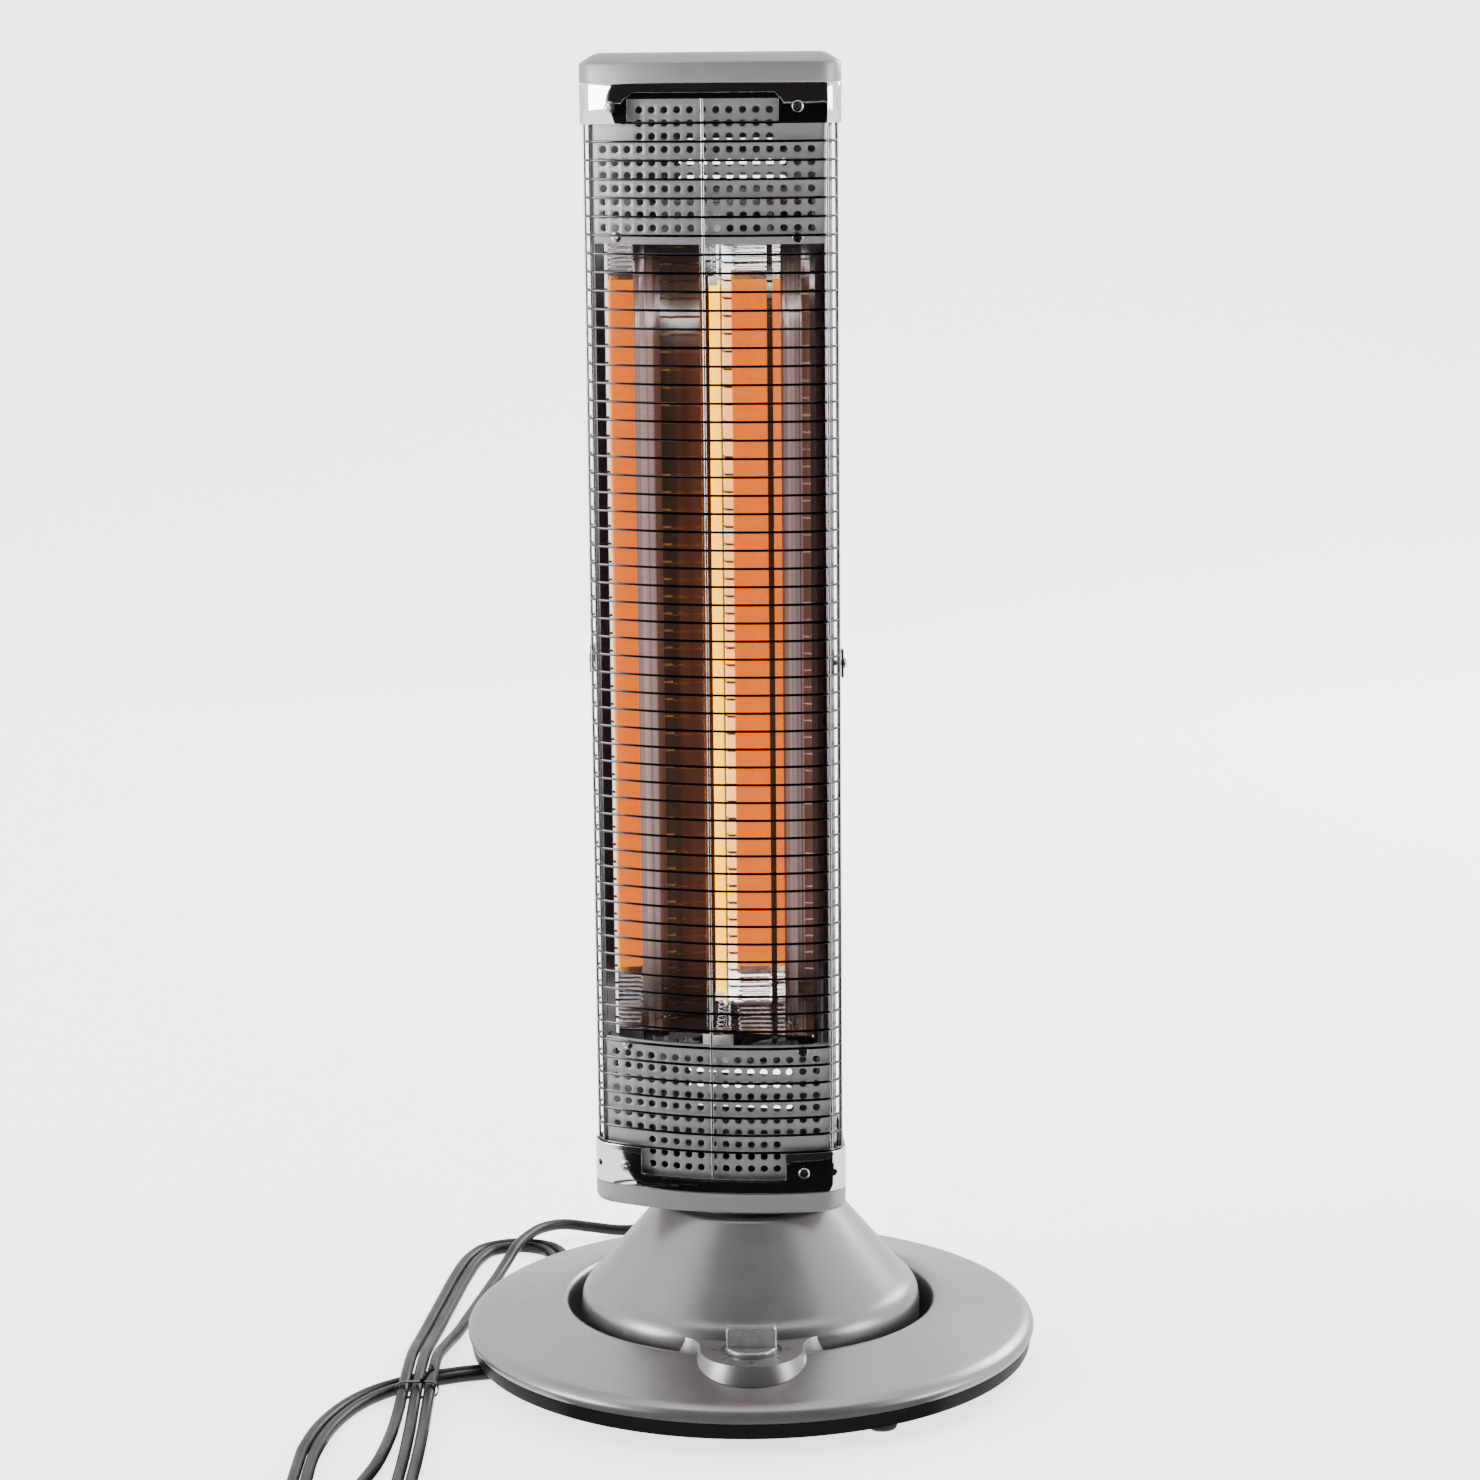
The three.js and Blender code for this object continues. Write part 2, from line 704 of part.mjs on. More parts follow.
function makeSwingLink() {
  let link = solid(extruded(leverShape(crankSpan, leverHalfWidth, leverHalfWidth), linkZ, linkZ + linkThick));
  for (const x of [0, crankSpan]) {
    const eye = cylinder(pinRadius + runGap, linkZ - overrun, linkZ + linkThick + overrun, 16);
    link = link.subtract(solid(eye.translate(x, 0, 0)));
  }
  const [x, y] = polar(crankRadius, -columnTurn);
  place(heater, 'swing_link', link, finish.steel, x, y, 0, Math.PI / 2);
}

function makeSwivel() {
  const flangeZ = capFloorZ + capWall + seat;
  const bore = swivelRadius - swivelWall;
  const tube = lathe([
    [bore, hornZ], [swivelRadius, hornZ], [swivelRadius, flangeZ],
    [swivelFlange, flangeZ], [swivelFlange, flangeZ + swivelFlangeThick], [bore, flangeZ + swivelFlangeThick],
  ], 40);
  place(column, 'swivel_tube', tube, finish.steel);
  let horn = solid(lathe([
    [swivelRadius + seat, hornZ], [swivelRadius + hornWall, hornZ],
    [swivelRadius + hornWall, hornZ + hornThick], [swivelRadius + seat, hornZ + hornThick],
  ], 40));
  const ear = extruded(leverShape(crankRadius, leverHalfWidth, leverHalfWidth), hornZ, hornZ + hornThick);
  const keep = solid(ear).subtract(solid(cylinder(swivelRadius + hornWall / 2, hornZ - overrun,
    hornZ + hornThick + overrun, 40)));
  horn = horn.add(keep);
  const pin = cylinder(pinRadius, linkZ, hornZ + hornThick / 2, 12);
  horn = horn.add(solid(pin.translate(crankRadius, 0, 0)));
  place(column, 'swing_horn', horn, finish.steel);
  const washerZ = neckZ + seat + bearingFlangeThick + seat;
  const inner = swivelRadius + runGap;
  place(column, 'swivel_washer', lathe([
    [inner, washerZ], [inner + washerWidth, washerZ],
    [inner + washerWidth, washerZ + washerThick], [inner, washerZ + washerThick],
  ], 40), finish.nylon);
  const flangeLow = neckZ + seat;
  const bearing = lathe([
    [inner, bearingLowZ], [inner + bearingWall, bearingLowZ], [inner + bearingWall, flangeLow],
    [bearingFlange, flangeLow], [bearingFlange, flangeLow + bearingFlangeThick], [inner, flangeLow + bearingFlangeThick],
  ], 40);
  place(heater, 'swivel_bearing', bearing, finish.steel);
}

// Column caps and frames

function makeCaps() {
  const top = capFloorZ + capHeight;
  const lower = loft([
    outlineRing(capRound, capFloorZ),
    outlineRing(capRound / 3, capFloorZ + capRound / 3),
    outlineRing(0, capFloorZ + capRound),
    outlineRing(0, top),
    outlineRing(capSide, top),
    outlineRing(capSide, capFloorZ + capWall),
  ]);
  const hole = cylinder(swivelRadius + seat, capFloorZ - overrun, capFloorZ + capWall + overrun, 40);
  place(column, 'bottom_cap', solid(lower).subtract(solid(hole)), finish.silver);
  const wallTop = topCapZ + topCapWallHeight;
  const crown = wallTop + topChamferHeight;
  const upper = loft([
    outlineRing(capSide, crown - capWall),
    outlineRing(capSide, topCapZ),
    outlineRing(0, topCapZ),
    outlineRing(0, wallTop),
    outlineRing(topChamfer / 3, wallTop + 0.55 * topChamferHeight),
    outlineRing(topChamfer, crown),
    outlineRing(1.6 * topChamfer, crown + topDome),
  ]);
  place(column, 'top_cap', solid(upper), finish.silver);
}

function screwBore(side, u, inset, z) {
  const bore = cylinder(screwRadius + seat, -2 * screwLength, overrun, 12).rotateX(Math.PI / 2);
  bore.rotateZ(side * Math.asin(u / bowRadius));
  return solid(bore.translate(columnOffset + side * u, -frontAt(u, inset) - seat, z));
}

function chromeFrame(stripLow, stripHigh, tabLow, tabHigh, screwZ) {
  const bandLow = Math.min(stripLow, tabLow);
  const bandHigh = Math.max(stripHigh, tabHigh);
  const outer = loft([
    outlineRing(frameInset, bandLow), outlineRing(frameInset, bandHigh),
    outlineRing(frameInset + frameWall, bandHigh), outlineRing(frameInset + frameWall, bandLow),
  ], true);
  let frame = solid(outer);
  const notchHalf = notchWidth / 2;
  const front = box(columnOffset - notchHalf, columnOffset + notchHalf, -columnFace - overrun, 0, tabLow, tabHigh);
  frame = frame.subtract(solid(front));
  for (const side of [-1, 1]) {
    frame = frame.subtract(screwBore(side, frameScrewU, frameInset, screwZ));
  }
  return frame;
}

function makeFrames() {
  const lowTab = [lowerFrameZ + frameStrip, lowerFrameZ + tabHeight];
  place(column, 'lower_frame', chromeFrame(lowerFrameZ, lowTab[0], ...lowTab, lowerFrameScrewZ), finish.chrome);
  const stripLow = upperFrameTopZ - frameStrip;
  place(column, 'upper_frame',
    chromeFrame(stripLow, upperFrameTopZ, upperFrameTopZ - upperTabHeight, stripLow, upperFrameScrewZ), finish.chrome);
}

// Wire guard

function wireAlong(path, radius, steps) {
  const square = shapeOf([[radius, 0], [0, radius], [-radius, 0], [0, -radius]]);
  return new THREE.ExtrudeGeometry(square, { steps, bevelEnabled: false, extrudePath: path });
}

function flatWire(path, z) {
  const rings = path.map(([x, y], i) => {
    const before = path[Math.max(i - 1, 0)];
    const after = path[Math.min(i + 1, path.length - 1)];
    const run = Math.hypot(after[0] - before[0], after[1] - before[1]);
    const nx = (after[1] - before[1]) / run * wireRadius;
    const ny = -(after[0] - before[0]) / run * wireRadius;
    return [
      new THREE.Vector3(x + nx, y + ny, z),
      new THREE.Vector3(x, y, z + wireRadius),
      new THREE.Vector3(x - nx, y - ny, z),
      new THREE.Vector3(x, y, z - wireRadius),
    ];
  });
  const geometry = new THREE.BufferGeometry();
  geometry.setFromPoints(rings.flat());
  const index = [];
  for (let j = 0; j + 1 < rings.length; j += 1) {
    for (let i = 0; i < 4; i += 1) {
      const a = 4 * j + i;
      const b = 4 * j + (i + 1) % 4;
      index.push(a, b, b + 4, a, b + 4, a + 4);
    }
  }
  const last = 4 * (rings.length - 1);
  index.push(0, 2, 1, 0, 3, 2, last, last + 1, last + 2, last, last + 2, last + 3);
  geometry.setIndex(index);
  return geometry;
}

function makeGuard() {
  const path = frontPath(guardInset, guardRearV, 2, 2);
  const wires = [];
  for (let i = 0; i < guardWires; i += 1) {
    wires.push(solid(flatWire(path, guardLowZ + i * guardPitch)));
  }
  const postLow = lowerFrameZ + seat;
  const postHigh = upperFrameTopZ - seat;
  const [leftEnd] = path;
  const rightEnd = path[path.length - 1];
  for (const [x, y] of [leftEnd, rightEnd]) {
    wires.push(solid(cylinder(postRadius, postLow, postHigh, 4).translate(x, y, 0)));
  }
  const backOfWire = columnFace - guardInset - wireRadius;
  const centre = cylinder(postRadius, postLow, postHigh, 4);
  wires.push(solid(centre.translate(columnOffset, -backOfWire, 0)));
  place(column, 'wire_guard', wasm.Manifold.union(wires).simplify(seat / 10), finish.chrome);
}

// Panels behind the guard

function panelPath(inset) {
  const steps = 8;
  return Array.from({ length: steps + 1 }, (_, i) => {
    const u = panelHalfWidth * (2 * i / steps - 1);
    return [u + columnOffset, -frontAt(u, inset)];
  });
}

function makePanels() {
  for (const [name, lowZ, highZ] of [
    ['lower_panel', lowerFrameZ, lowerPanelTopZ],
    ['upper_panel', upperPanelLowZ, upperFrameTopZ],
  ]) {
    const outer = panelPath(panelInset);
    const inner = panelPath(panelInset + panelSheet);
    const end = outer[outer.length - 1];
    const start = outer[0];
    const outerPath = [[start[0], start[1] + panelLip], ...outer, [end[0], end[1] + panelLip]];
    const innerPath = [
      [start[0] + panelSheet, start[1] + panelLip], ...inner.slice(1, -1), [end[0] - panelSheet, end[1] + panelLip],
    ];
    innerPath.splice(1, 0, [start[0] + panelSheet, inner[0][1]]);
    innerPath.splice(innerPath.length - 1, 0, [end[0] - panelSheet, inner[inner.length - 1][1]]);
    let panel = solid(pathWall(outerPath, innerPath, lowZ, highZ));
    for (const side of [-1, 1]) {
      const lower = name === 'lower_panel';
      const edge = lower ? highZ - panelScrewInset : lowZ + panelScrewInset;
      const frameEdge = lower ? lowerFrameScrewZ : upperFrameScrewZ;
      panel = panel.subtract(screwBore(side, panelScrewU, panelInset, edge));
      panel = panel.subtract(screwBore(side, frameScrewU, frameInset, frameEdge));
    }
    place(column, name, panel, finish.silver);
  }
}

// Mirror trough, end plates and lamp

function troughPath(offset) {
  const facets = mirrorFacetU.map((u, i) => [u, mirrorFacetV[i]]).slice(1);
  const half = [...facets, [mirrorEdgeU, frontAt(mirrorEdgeU, panelInset + panelSheet) - 3 * seat]];
  const moved = offsetProfile(half.map(([u, v]) => [v, u]), offset).map(([v, u]) => [u, v]);
  const left = moved.map(([u, v]) => [-u, v]).reverse();
  return [...left, ...moved].map(([u, v]) => [u + columnOffset, -v]);
}

function makeReflector() {
  const trough = pathWall(troughPath(0), troughPath(mirrorSheet), mirrorLowZ, mirrorHighZ);
  place(column, 'reflector', trough, finish.mirror);
  const plate = troughPath(-seat);
  for (const [name, z] of [
    ['reflector_end_lower', tubeLowZ + lampCapOverlap + seat],
    ['reflector_end_upper', tubeHighZ - lampCapOverlap - seat - mirrorSheet],
  ]) {
    let end = solid(extruded(shapeOf(plate), z, z + mirrorSheet));
    const hole = cylinder(tubeRadius + seat, z - overrun, z + overrun, 20);
    end = end.subtract(solid(hole.translate(columnOffset, -lampV, 0)));
    place(column, name, end, finish.mirror);
  }
}

function makeLamp() {
  const tube = lathe([
    [tubeRadius - tubeWall, tubeLowZ], [tubeRadius, tubeLowZ],
    [tubeRadius, tubeHighZ], [tubeRadius - tubeWall, tubeHighZ],
  ], 20);
  place(column, 'quartz_tube', tube, finish.glass, columnOffset, -lampV);
  const half = strandWidth / 2;
  let strand = solid(box(-half, half, -strandThick / 2, strandThick / 2, strandLowZ, strandHighZ));
  const lead = strandThick;
  for (const [from, to] of [[tubeLowZ + coilMargin, strandLowZ + lead], [strandHighZ - lead, tubeHighZ - coilMargin]]) {
    strand = strand.add(solid(cylinder(coilRadius, from, to, 10)));
  }
  place(column, 'carbon_strand', strand, finish.glow, columnOffset + strandU, -lampV);
  for (const [name, lowZ] of [
    ['lamp_cap_lower', tubeLowZ + lampCapOverlap - lampCapLength], ['lamp_cap_upper', tubeHighZ - lampCapOverlap],
  ]) {
    const highZ = lowZ + lampCapLength;
    const lower = name === 'lamp_cap_lower';
    let cap = solid(cylinder(lampCapRadius, lowZ, highZ, 20));
    const socketLow = lower ? tubeLowZ - seat : lowZ - overrun;
    const socketHigh = lower ? highZ + overrun : tubeHighZ + seat;
    cap = cap.subtract(solid(cylinder(tubeRadius + seat, socketLow, socketHigh, 20)));
    place(column, name, cap, finish.ceramic, columnOffset, -lampV);
    const middle = lower ? lowZ + holderHeight : highZ - holderHeight;
    let holder = solid(box(-lampCapRadius - holderMargin, lampCapRadius + holderMargin, -lampCapRadius / 2, lampV - mirrorFacetV[0] - 2.4 * seat,
      middle - holderHeight / 2, middle + holderHeight / 2));
    holder = holder.subtract(solid(cylinder(lampCapRadius + seat, lowZ - overrun, highZ + overrun, 20)));
    place(column, lower ? 'lamp_holder_lower' : 'lamp_holder_upper', holder, finish.steel, columnOffset, -lampV);
  }
}

// Rear cover

function makeRearCover() {
  const lowZ = lowerFrameZ;
  const highZ = upperFrameTopZ;
  const half = halfOutline(rearInset, 1, 6, 4);
  const halfInner = halfOutline(rearInset + sheet, 1, 6, 4);
  const skip = half.findIndex(([, v]) => v < rearFrontV);
  const right = half.slice(skip);
  const rightInner = halfInner.slice(skip);
  const outer = [...right, ...right.map(([u, v]) => [-u, v]).reverse()];
  const inner = [...rightInner, ...rightInner.map(([u, v]) => [-u, v]).reverse()];
  const flip = (list) => list.map(([u, v]) => [u + columnOffset, -v]);
  let cover = solid(pathWall(flip(outer), flip(inner), lowZ, highZ));
  for (const from of [lowZ + ventMargin, highZ - ventMargin - ventCount * ventPitch]) {
    for (let i = 0; i < ventCount; i += 1) {
      const z = from + i * ventPitch;
      cover = cover.subtract(solid(box(
        columnOffset - ventWidth / 2, columnOffset + ventWidth / 2, 0, columnBack + overrun, z, z + ventHeight)));
    }
  }
  for (const side of [-1, 1]) {
    cover = cover.subtract(sideBore(side));
  }
  place(column, 'rear_cover', cover, finish.silver);
}

// Screws and clamps

function screwSolid() {
  const head = cylinder(screwHeadRadius, 0, screwHeadHeight, 12, 0.8 * screwHeadRadius);
  const shank = cylinder(screwRadius, -screwLength, screwHeadHeight / 2, 8);
  return solid(head).add(solid(shank));
}

function placeScrew(name, u, v, z, yaw = 0) {
  const geometry = geometryOf(screwSolid());
  geometry.rotateX(Math.PI / 2);
  geometry.rotateZ(yaw * deg);
  place(column, name, geometry, finish.steel, u + columnOffset, -v, z);
}

function makeScrews() {
  for (const [side, word] of [[-1, 'left'], [1, 'right']]) {
    const v = frontAt(frameScrewU, frameInset) + seat;
    const yaw = side * Math.asin(frameScrewU / bowRadius) / deg;
    placeScrew(`lower_frame_screw_${word}`, side * frameScrewU, v, lowerFrameScrewZ, yaw);
    placeScrew(`upper_frame_screw_${word}`, side * frameScrewU, v, upperFrameScrewZ, yaw);
    const pv = frontAt(panelScrewU, panelInset) + seat;
    const panelYaw = side * Math.asin(panelScrewU / bowRadius) / deg;
    placeScrew(`lower_panel_screw_${word}`, side * panelScrewU, pv, lowerPanelTopZ - panelScrewInset, panelYaw);
    placeScrew(`upper_panel_screw_${word}`, side * panelScrewU, pv, upperPanelLowZ + panelScrewInset, panelYaw);
  }
}

// Two small straps at mid height hold the guard's rear wires to the rear cover.

const clampZ = guardLowZ + (guardWires / 2 - 1.5) * guardPitch;
const clampAngle = sideAngle * deg;

// A point on the column's right side, at a depth in front of the section's middle.
function sidePoint(inset, v) {
  const reach = cornerRadius - inset;
  const startU = frontCornerU + reach * Math.cos(clampAngle);
  const startV = frontCornerV - reach * Math.sin(clampAngle);
  return [startU - (startV - v) * Math.tan(clampAngle), v];
}

// Puts a shape drawn along +X at the column's side, pointing outwards.
function atSide(geometry, side, inset) {
  const [u, v] = sidePoint(inset, clampV);
  const turned = side > 0 ? clampAngle : Math.PI - clampAngle;
  return geometry.rotateZ(turned).translate(columnOffset + side * u, -v, clampZ);
}

function sideBore(side) {
  const bore = cylinder(screwRadius + seat, -2 * screwLength, overrun, 12).rotateY(Math.PI / 2);
  return solid(atSide(bore, side, 0));
}

function makeClamps() {
  const innerInset = guardInset - wireRadius - seat;
  const outerInset = innerInset - clampThick;
  const halfHeight = guardPitch / 2 + wireRadius + clampMargin;
  for (const [side, word] of [[-1, 'left'], [1, 'right']]) {
    const strap = box(-clampThick, 0, -clampWidth / 2, clampWidth / 2, -halfHeight, halfHeight);
    const clamp = solid(atSide(strap, side, outerInset)).subtract(sideBore(side));
    place(column, `guard_clamp_${word}`, clamp, finish.chrome);
    const screw = geometryOf(screwSolid()).rotateY(Math.PI / 2);
    place(column, `side_screw_${word}`, atSide(screw, side, outerInset - seat), finish.steel);
  }
}

// Cord

const lead = [
  [-36.7, 198.8, 11.5], [-42.5, 205.7, 10], [-50.3, 210.2, 8], [-59.2, 212, 6], [-80, 213.8, 4], [-99, 214.5, 6],
  [-116, 210, 9.4], [-128.5, 198.5, 10.8], [-137, 182, 10.8], [-143, 164, 9.6], [-148, 146, 5.6],
  [-152.5, 124, 3.4], [-158.5, 88, 3.3], [-163.5, 58, 3.3], [-168.5, 26, 3.8], [-173, -4, 6.8], [-175.6, -30, 9.8],
];

// The middle of the hank's turns: x, y, z, and how far the turns spread there.
const turnRoute = [
  [-183, -58, 10.7, 1], [-183, -78, 8.6, 1], [-183, -100, 5, 1], [-182.5, -125, 3.3, 1],
  [-182, -155, 3.3, 1], [-182, -190, 3.3, 1], [-183, -222, 4, 1], [-187.5, -237, 7.4, 1],
  [-196, -246, 10.4, 1], [-207, -249.5, 11, 1], [-218, -246, 10.4, 1], [-226.5, -237, 7.4, 1],
  [-231, -222, 4, 1], [-233, -190, 3.3, 1], [-232.5, -155, 3.3, 1], [-227, -117, 3.3, 1],
  [-216, -86, 3.3, 1], [-202, -66, 3.3, 1], [-184, -52, 3.3, 1], [-163, -42, 3.3, 1],
  [-141, -35, 3.3, 1], [-122, -20, 3.3, 1], [-111, 5, 3.3, 1], [-108, 40, 3.3, 1],
  [-109.5, 80, 3.3, 1], [-113, 125, 3.3, 1], [-118.2, 162, 3.3, 1], [-125.4, 178.4, 3.3, 1],
  [-142, 185.5, 3.3, 1], [-158.6, 178.4, 3.3, 1], [-165.8, 162, 3.3, 1], [-171, 131, 3.3, 1],
  [-175.5, 87, 3.3, 1], [-180, 40, 3.3, 1], [-182.5, 5, 5.4, 1], [-183, -26, 9.8, 1],
];

const tail = [
  [-190.5, -78, 8.6], [-191.2, -100, 5], [-192.5, -135, 3.3], [-196, -175, 3.3], [-203, -212, 3.3], [-207, -245, 3.3],
  [-207, -262, 3.5],
];

function cordRoute() {
  const points = [];
  const startRadius = baseRadius - trayInset + glandLength + seat;
  points.push(new THREE.Vector3(glandX * startRadius, glandY * startRadius, glandZ));
  points.push(new THREE.Vector3(glandX * (startRadius + cordDiameter), glandY * (startRadius + cordDiameter), glandZ));
  lead.forEach((p) => points.push(new THREE.Vector3(...p)));
  const count = turnRoute.length;
  const turns = 2;
  for (let i = 0; i <= turns * count; i += 1) {
    const [x, y, z, spread] = turnRoute[i % count];
    const before = turnRoute[(i + count - 1) % count];
    const after = turnRoute[(i + 1) % count];
    const run = Math.hypot(after[0] - before[0], after[1] - before[1]);
    const side = (1 - i / count) * turnSpacing * spread;
    const px = x - (after[1] - before[1]) / run * side;
    const py = y + (after[0] - before[0]) / run * side;
    points.push(new THREE.Vector3(px, py, z));
  }
  tail.forEach((p) => points.push(new THREE.Vector3(...p)));
  points.push(new THREE.Vector3(plugX, plugY + cordDiameter, plugThick / 2));
  points.push(new THREE.Vector3(plugX, plugY, plugThick / 2));
  return points;
}

class Stretch extends THREE.Curve {
  constructor(whole, from, to) {
    super();
    this.whole = whole;
    this.from = from;
    this.to = to;
  }

  getPoint(t, target = new THREE.Vector3()) {
    target.copy(this.whole.getPointAt(this.from + (this.to - this.from) * t));
    target.z = Math.max(target.z, floorZ);
    return target;
  }
}

function circleShape(radius, sides) {
  return shapeOf(arcPoints(0, 0, radius, 0, 360 - 360 / sides, sides - 1));
}

function leastGap(curve, length) {
  const count = Math.round(length / 4);
  const points = Array.from({ length: count + 1 }, (_, i) => curve.getPointAt(i / count));
  const apart = 8;
  let least = Infinity;
  for (let i = 0; i < points.length; i += 1) {
    for (let j = i + apart; j < points.length; j += 1) {
      least = Math.min(least, points[i].distanceTo(points[j]));
    }
  }
  return least - cordDiameter;
}

function makeCord() {
  const points = cordRoute();
  const curve = new THREE.CatmullRomCurve3(points, false, 'centripetal');
  curve.arcLengthDivisions = 2000;
  const length = curve.getLength();
  const leadEnd = new THREE.Vector3(...lead[13]);
  let split = 0;
  let best = Infinity;
  for (let i = 0; i <= 400; i += 1) {
    const share = 0.3 * i / 400;
    const distance = curve.getPointAt(share).distanceTo(leadEnd);
    if (distance < best) {
      best = distance;
      split = share;
    }
  }
  const gap = seat / length;
  const leadShape = circleShape(cordDiameter / 2, 8);
  const leadPath = new Stretch(curve, 0, split);
  place(heater, 'cord_lead', new THREE.ExtrudeGeometry(leadShape, {
    steps: 34, bevelEnabled: false, extrudePath: leadPath,
  }), finish.rubber);
  const hankPath = new Stretch(curve, split + gap, 1);
  place(heater, 'cord_hank', new THREE.ExtrudeGeometry(circleShape(cordDiameter / 2, 6), {
    steps: 150, bevelEnabled: false, extrudePath: hankPath,
  }), finish.rubber);
  console.log(`cord length ${length.toFixed(0)} mm, least gap to itself ${leastGap(curve, length).toFixed(2)} mm`);
}

function makeGland() {
  const outer = baseRadius - trayInset;
  const body = cylinder(glandRadius, -glandInside, overrun, 16);
  const taper = cylinder(glandRadius, overrun - 1, glandLength, 16, glandTipRadius);
  place(heater, 'cord_gland', solid(along(body, outer)).add(solid(along(taper, outer))), finish.rubber);
}

function makeTie() {
  const [tieX, y, centreZ] = turnRoute[1];
  const halfRun = turnSpacing;
  const loopAt = (radius, dy) => [
    ...arcPoints(tieX + halfRun, centreZ, radius, -90, 90, 6),
    ...arcPoints(tieX - halfRun, centreZ, radius, 90, 270, 6),
  ].map(([x, z]) => new THREE.Vector3(x, y + dy, z));
  const inside = cordDiameter / 2 + tieGap;
  const outside = inside + tieThick;
  const band = loft([
    loopAt(outside, 0), loopAt(outside, -tieWidth), loopAt(inside, -tieWidth), loopAt(inside, 0),
  ], true);
  place(heater, 'cord_tie', band, finish.rubber);
}

function makePlug() {
  const z = plugThick / 2;
  const half = plugWidth / 2;
  const sleeve = cylinder(plugSleeveRadius, -plugSleeve, 0, 12, plugSleeveRadius * 1.2).rotateX(Math.PI / 2);
  const body = shapeOf([
    ...plugOutlineShares.map(([across, run]) => [half * across, -plugBody * run]),
    ...plugOutlineShares.map(([across, run]) => [-half * across, -plugBody * run]).reverse(),
  ]);
  let plug = solid(extruded(body, -z, z));
  plug = plug.add(solid(sleeve.translate(0, -plugOverlap, 0)));
  for (const side of [-1, 1]) {
    const pin = cylinder(plugPinRadius, 0, pinLength + plugOverlap, 10).rotateX(Math.PI / 2);
    plug = plug.add(solid(pin.translate(side * plugPinSpacing / 2, plugOverlap - plugBody, 0)));
  }
  place(heater, 'mains_plug', plug, finish.rubber, plugX, plugY - seat - plugSleeve + plugOverlap, z);
}

makeTray();
makeRing();
makePedestalCover();
makeBallast();
makeFeet();
makeSwitch();
makeKnob();
makeTipSwitch();
makeTerminalBlock();
makeMotor();
makeSwingArm();
makeSwingLink();
makeSwivel();
makeCaps();
makeFrames();
makeGuard();
makePanels();
makeReflector();
makeLamp();
makeRearCover();
makeScrews();
makeClamps();
makeGland();
makeCord();
makeTie();
makePlug();

export default heater;
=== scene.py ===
import math

import bmesh
import bpy
from bpy.props import FloatProperty, FloatVectorProperty, IntProperty, PointerProperty
from mathutils import Matrix, Vector


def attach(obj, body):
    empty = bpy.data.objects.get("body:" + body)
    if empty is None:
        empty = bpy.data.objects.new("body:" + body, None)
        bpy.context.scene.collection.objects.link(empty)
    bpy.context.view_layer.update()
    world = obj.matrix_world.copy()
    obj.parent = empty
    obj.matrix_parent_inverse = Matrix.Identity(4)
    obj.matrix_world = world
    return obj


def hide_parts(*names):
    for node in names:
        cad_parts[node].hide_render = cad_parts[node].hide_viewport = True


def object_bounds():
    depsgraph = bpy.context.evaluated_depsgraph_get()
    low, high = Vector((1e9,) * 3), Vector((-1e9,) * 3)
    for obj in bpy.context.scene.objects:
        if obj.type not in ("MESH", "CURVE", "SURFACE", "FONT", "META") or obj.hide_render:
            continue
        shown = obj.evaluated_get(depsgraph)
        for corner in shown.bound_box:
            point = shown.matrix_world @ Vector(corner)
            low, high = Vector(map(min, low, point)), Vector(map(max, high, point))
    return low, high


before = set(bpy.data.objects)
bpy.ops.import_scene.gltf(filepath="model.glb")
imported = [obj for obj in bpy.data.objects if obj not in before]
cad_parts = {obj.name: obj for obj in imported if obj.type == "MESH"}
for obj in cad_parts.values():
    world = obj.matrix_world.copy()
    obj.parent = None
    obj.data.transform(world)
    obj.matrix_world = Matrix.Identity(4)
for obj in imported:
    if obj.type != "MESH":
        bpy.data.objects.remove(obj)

bl_info = {
    "name": "Column heater",
    "version": (1, 0, 0),
    "blender": (4, 5, 0),
    "location": "View3D > Sidebar > Heater",
    "description": "Dresses the column heater with its wire guard, lamp, base and cord",
    "category": "Object",
}

CAD_BOX = [list(corner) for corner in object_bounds()]
MM = 0.001

# The column's section, in its own frame: u to its right, v towards its front.
COLUMN_TURN = -10.5
COLUMN_OFFSET = -12.0
FACE, BOW, CORNER = 50.0, 168.0, 16.0
BACK, BACK_CORNER = 45.0, 12.0
FRONT_U = 140.7 / 2 - CORNER
FRONT_V = FACE - BOW + math.sqrt((BOW - CORNER) ** 2 - FRONT_U ** 2)
BACK_U = 116.0 / 2 - BACK_CORNER
BACK_V = BACK_CORNER - BACK
BOW_ANGLE = math.degrees(math.asin(FRONT_U / (BOW - CORNER)))
SIDE_RUN = math.hypot(FRONT_U - BACK_U, FRONT_V - BACK_V)
SIDE_ANGLE = math.degrees(
    math.atan2(FRONT_U - BACK_U, FRONT_V - BACK_V) + math.asin((CORNER - BACK_CORNER) / SIDE_RUN))

# Heights up the column.
CAP_Z, CAP_TOP = 96.5, 108.2
LOWER_FRAME_Z, UPPER_FRAME_TOP = 108.5, 710.2
STRIP, LOWER_TAB, UPPER_TAB = 8.0, 22.5, 21.0
FIRST_WIRE, WIRE_PITCH, WIRE_COUNT = 131.3, 9.8, 58
LOWER_PANEL_TOP, UPPER_PANEL_LOW = 191.2, 626.4
HOLE_PITCH, HOLE_RISE = 7.0, 6.84
TOP_CAP_Z = 710.5
WIRE_INSET, WIRE_END_V, UPRIGHT_GAP = 2.4, 12.0, 0.4
PANEL_INSET, PANEL_HALF, SHEET = 5.8, 62.0, 1.0
LAMP_V = 27.0
TAPE_TURN = 20.0
STRAND_U, STRAND_LOW, STRAND_HIGH = 2.1, 214.7, 606.4
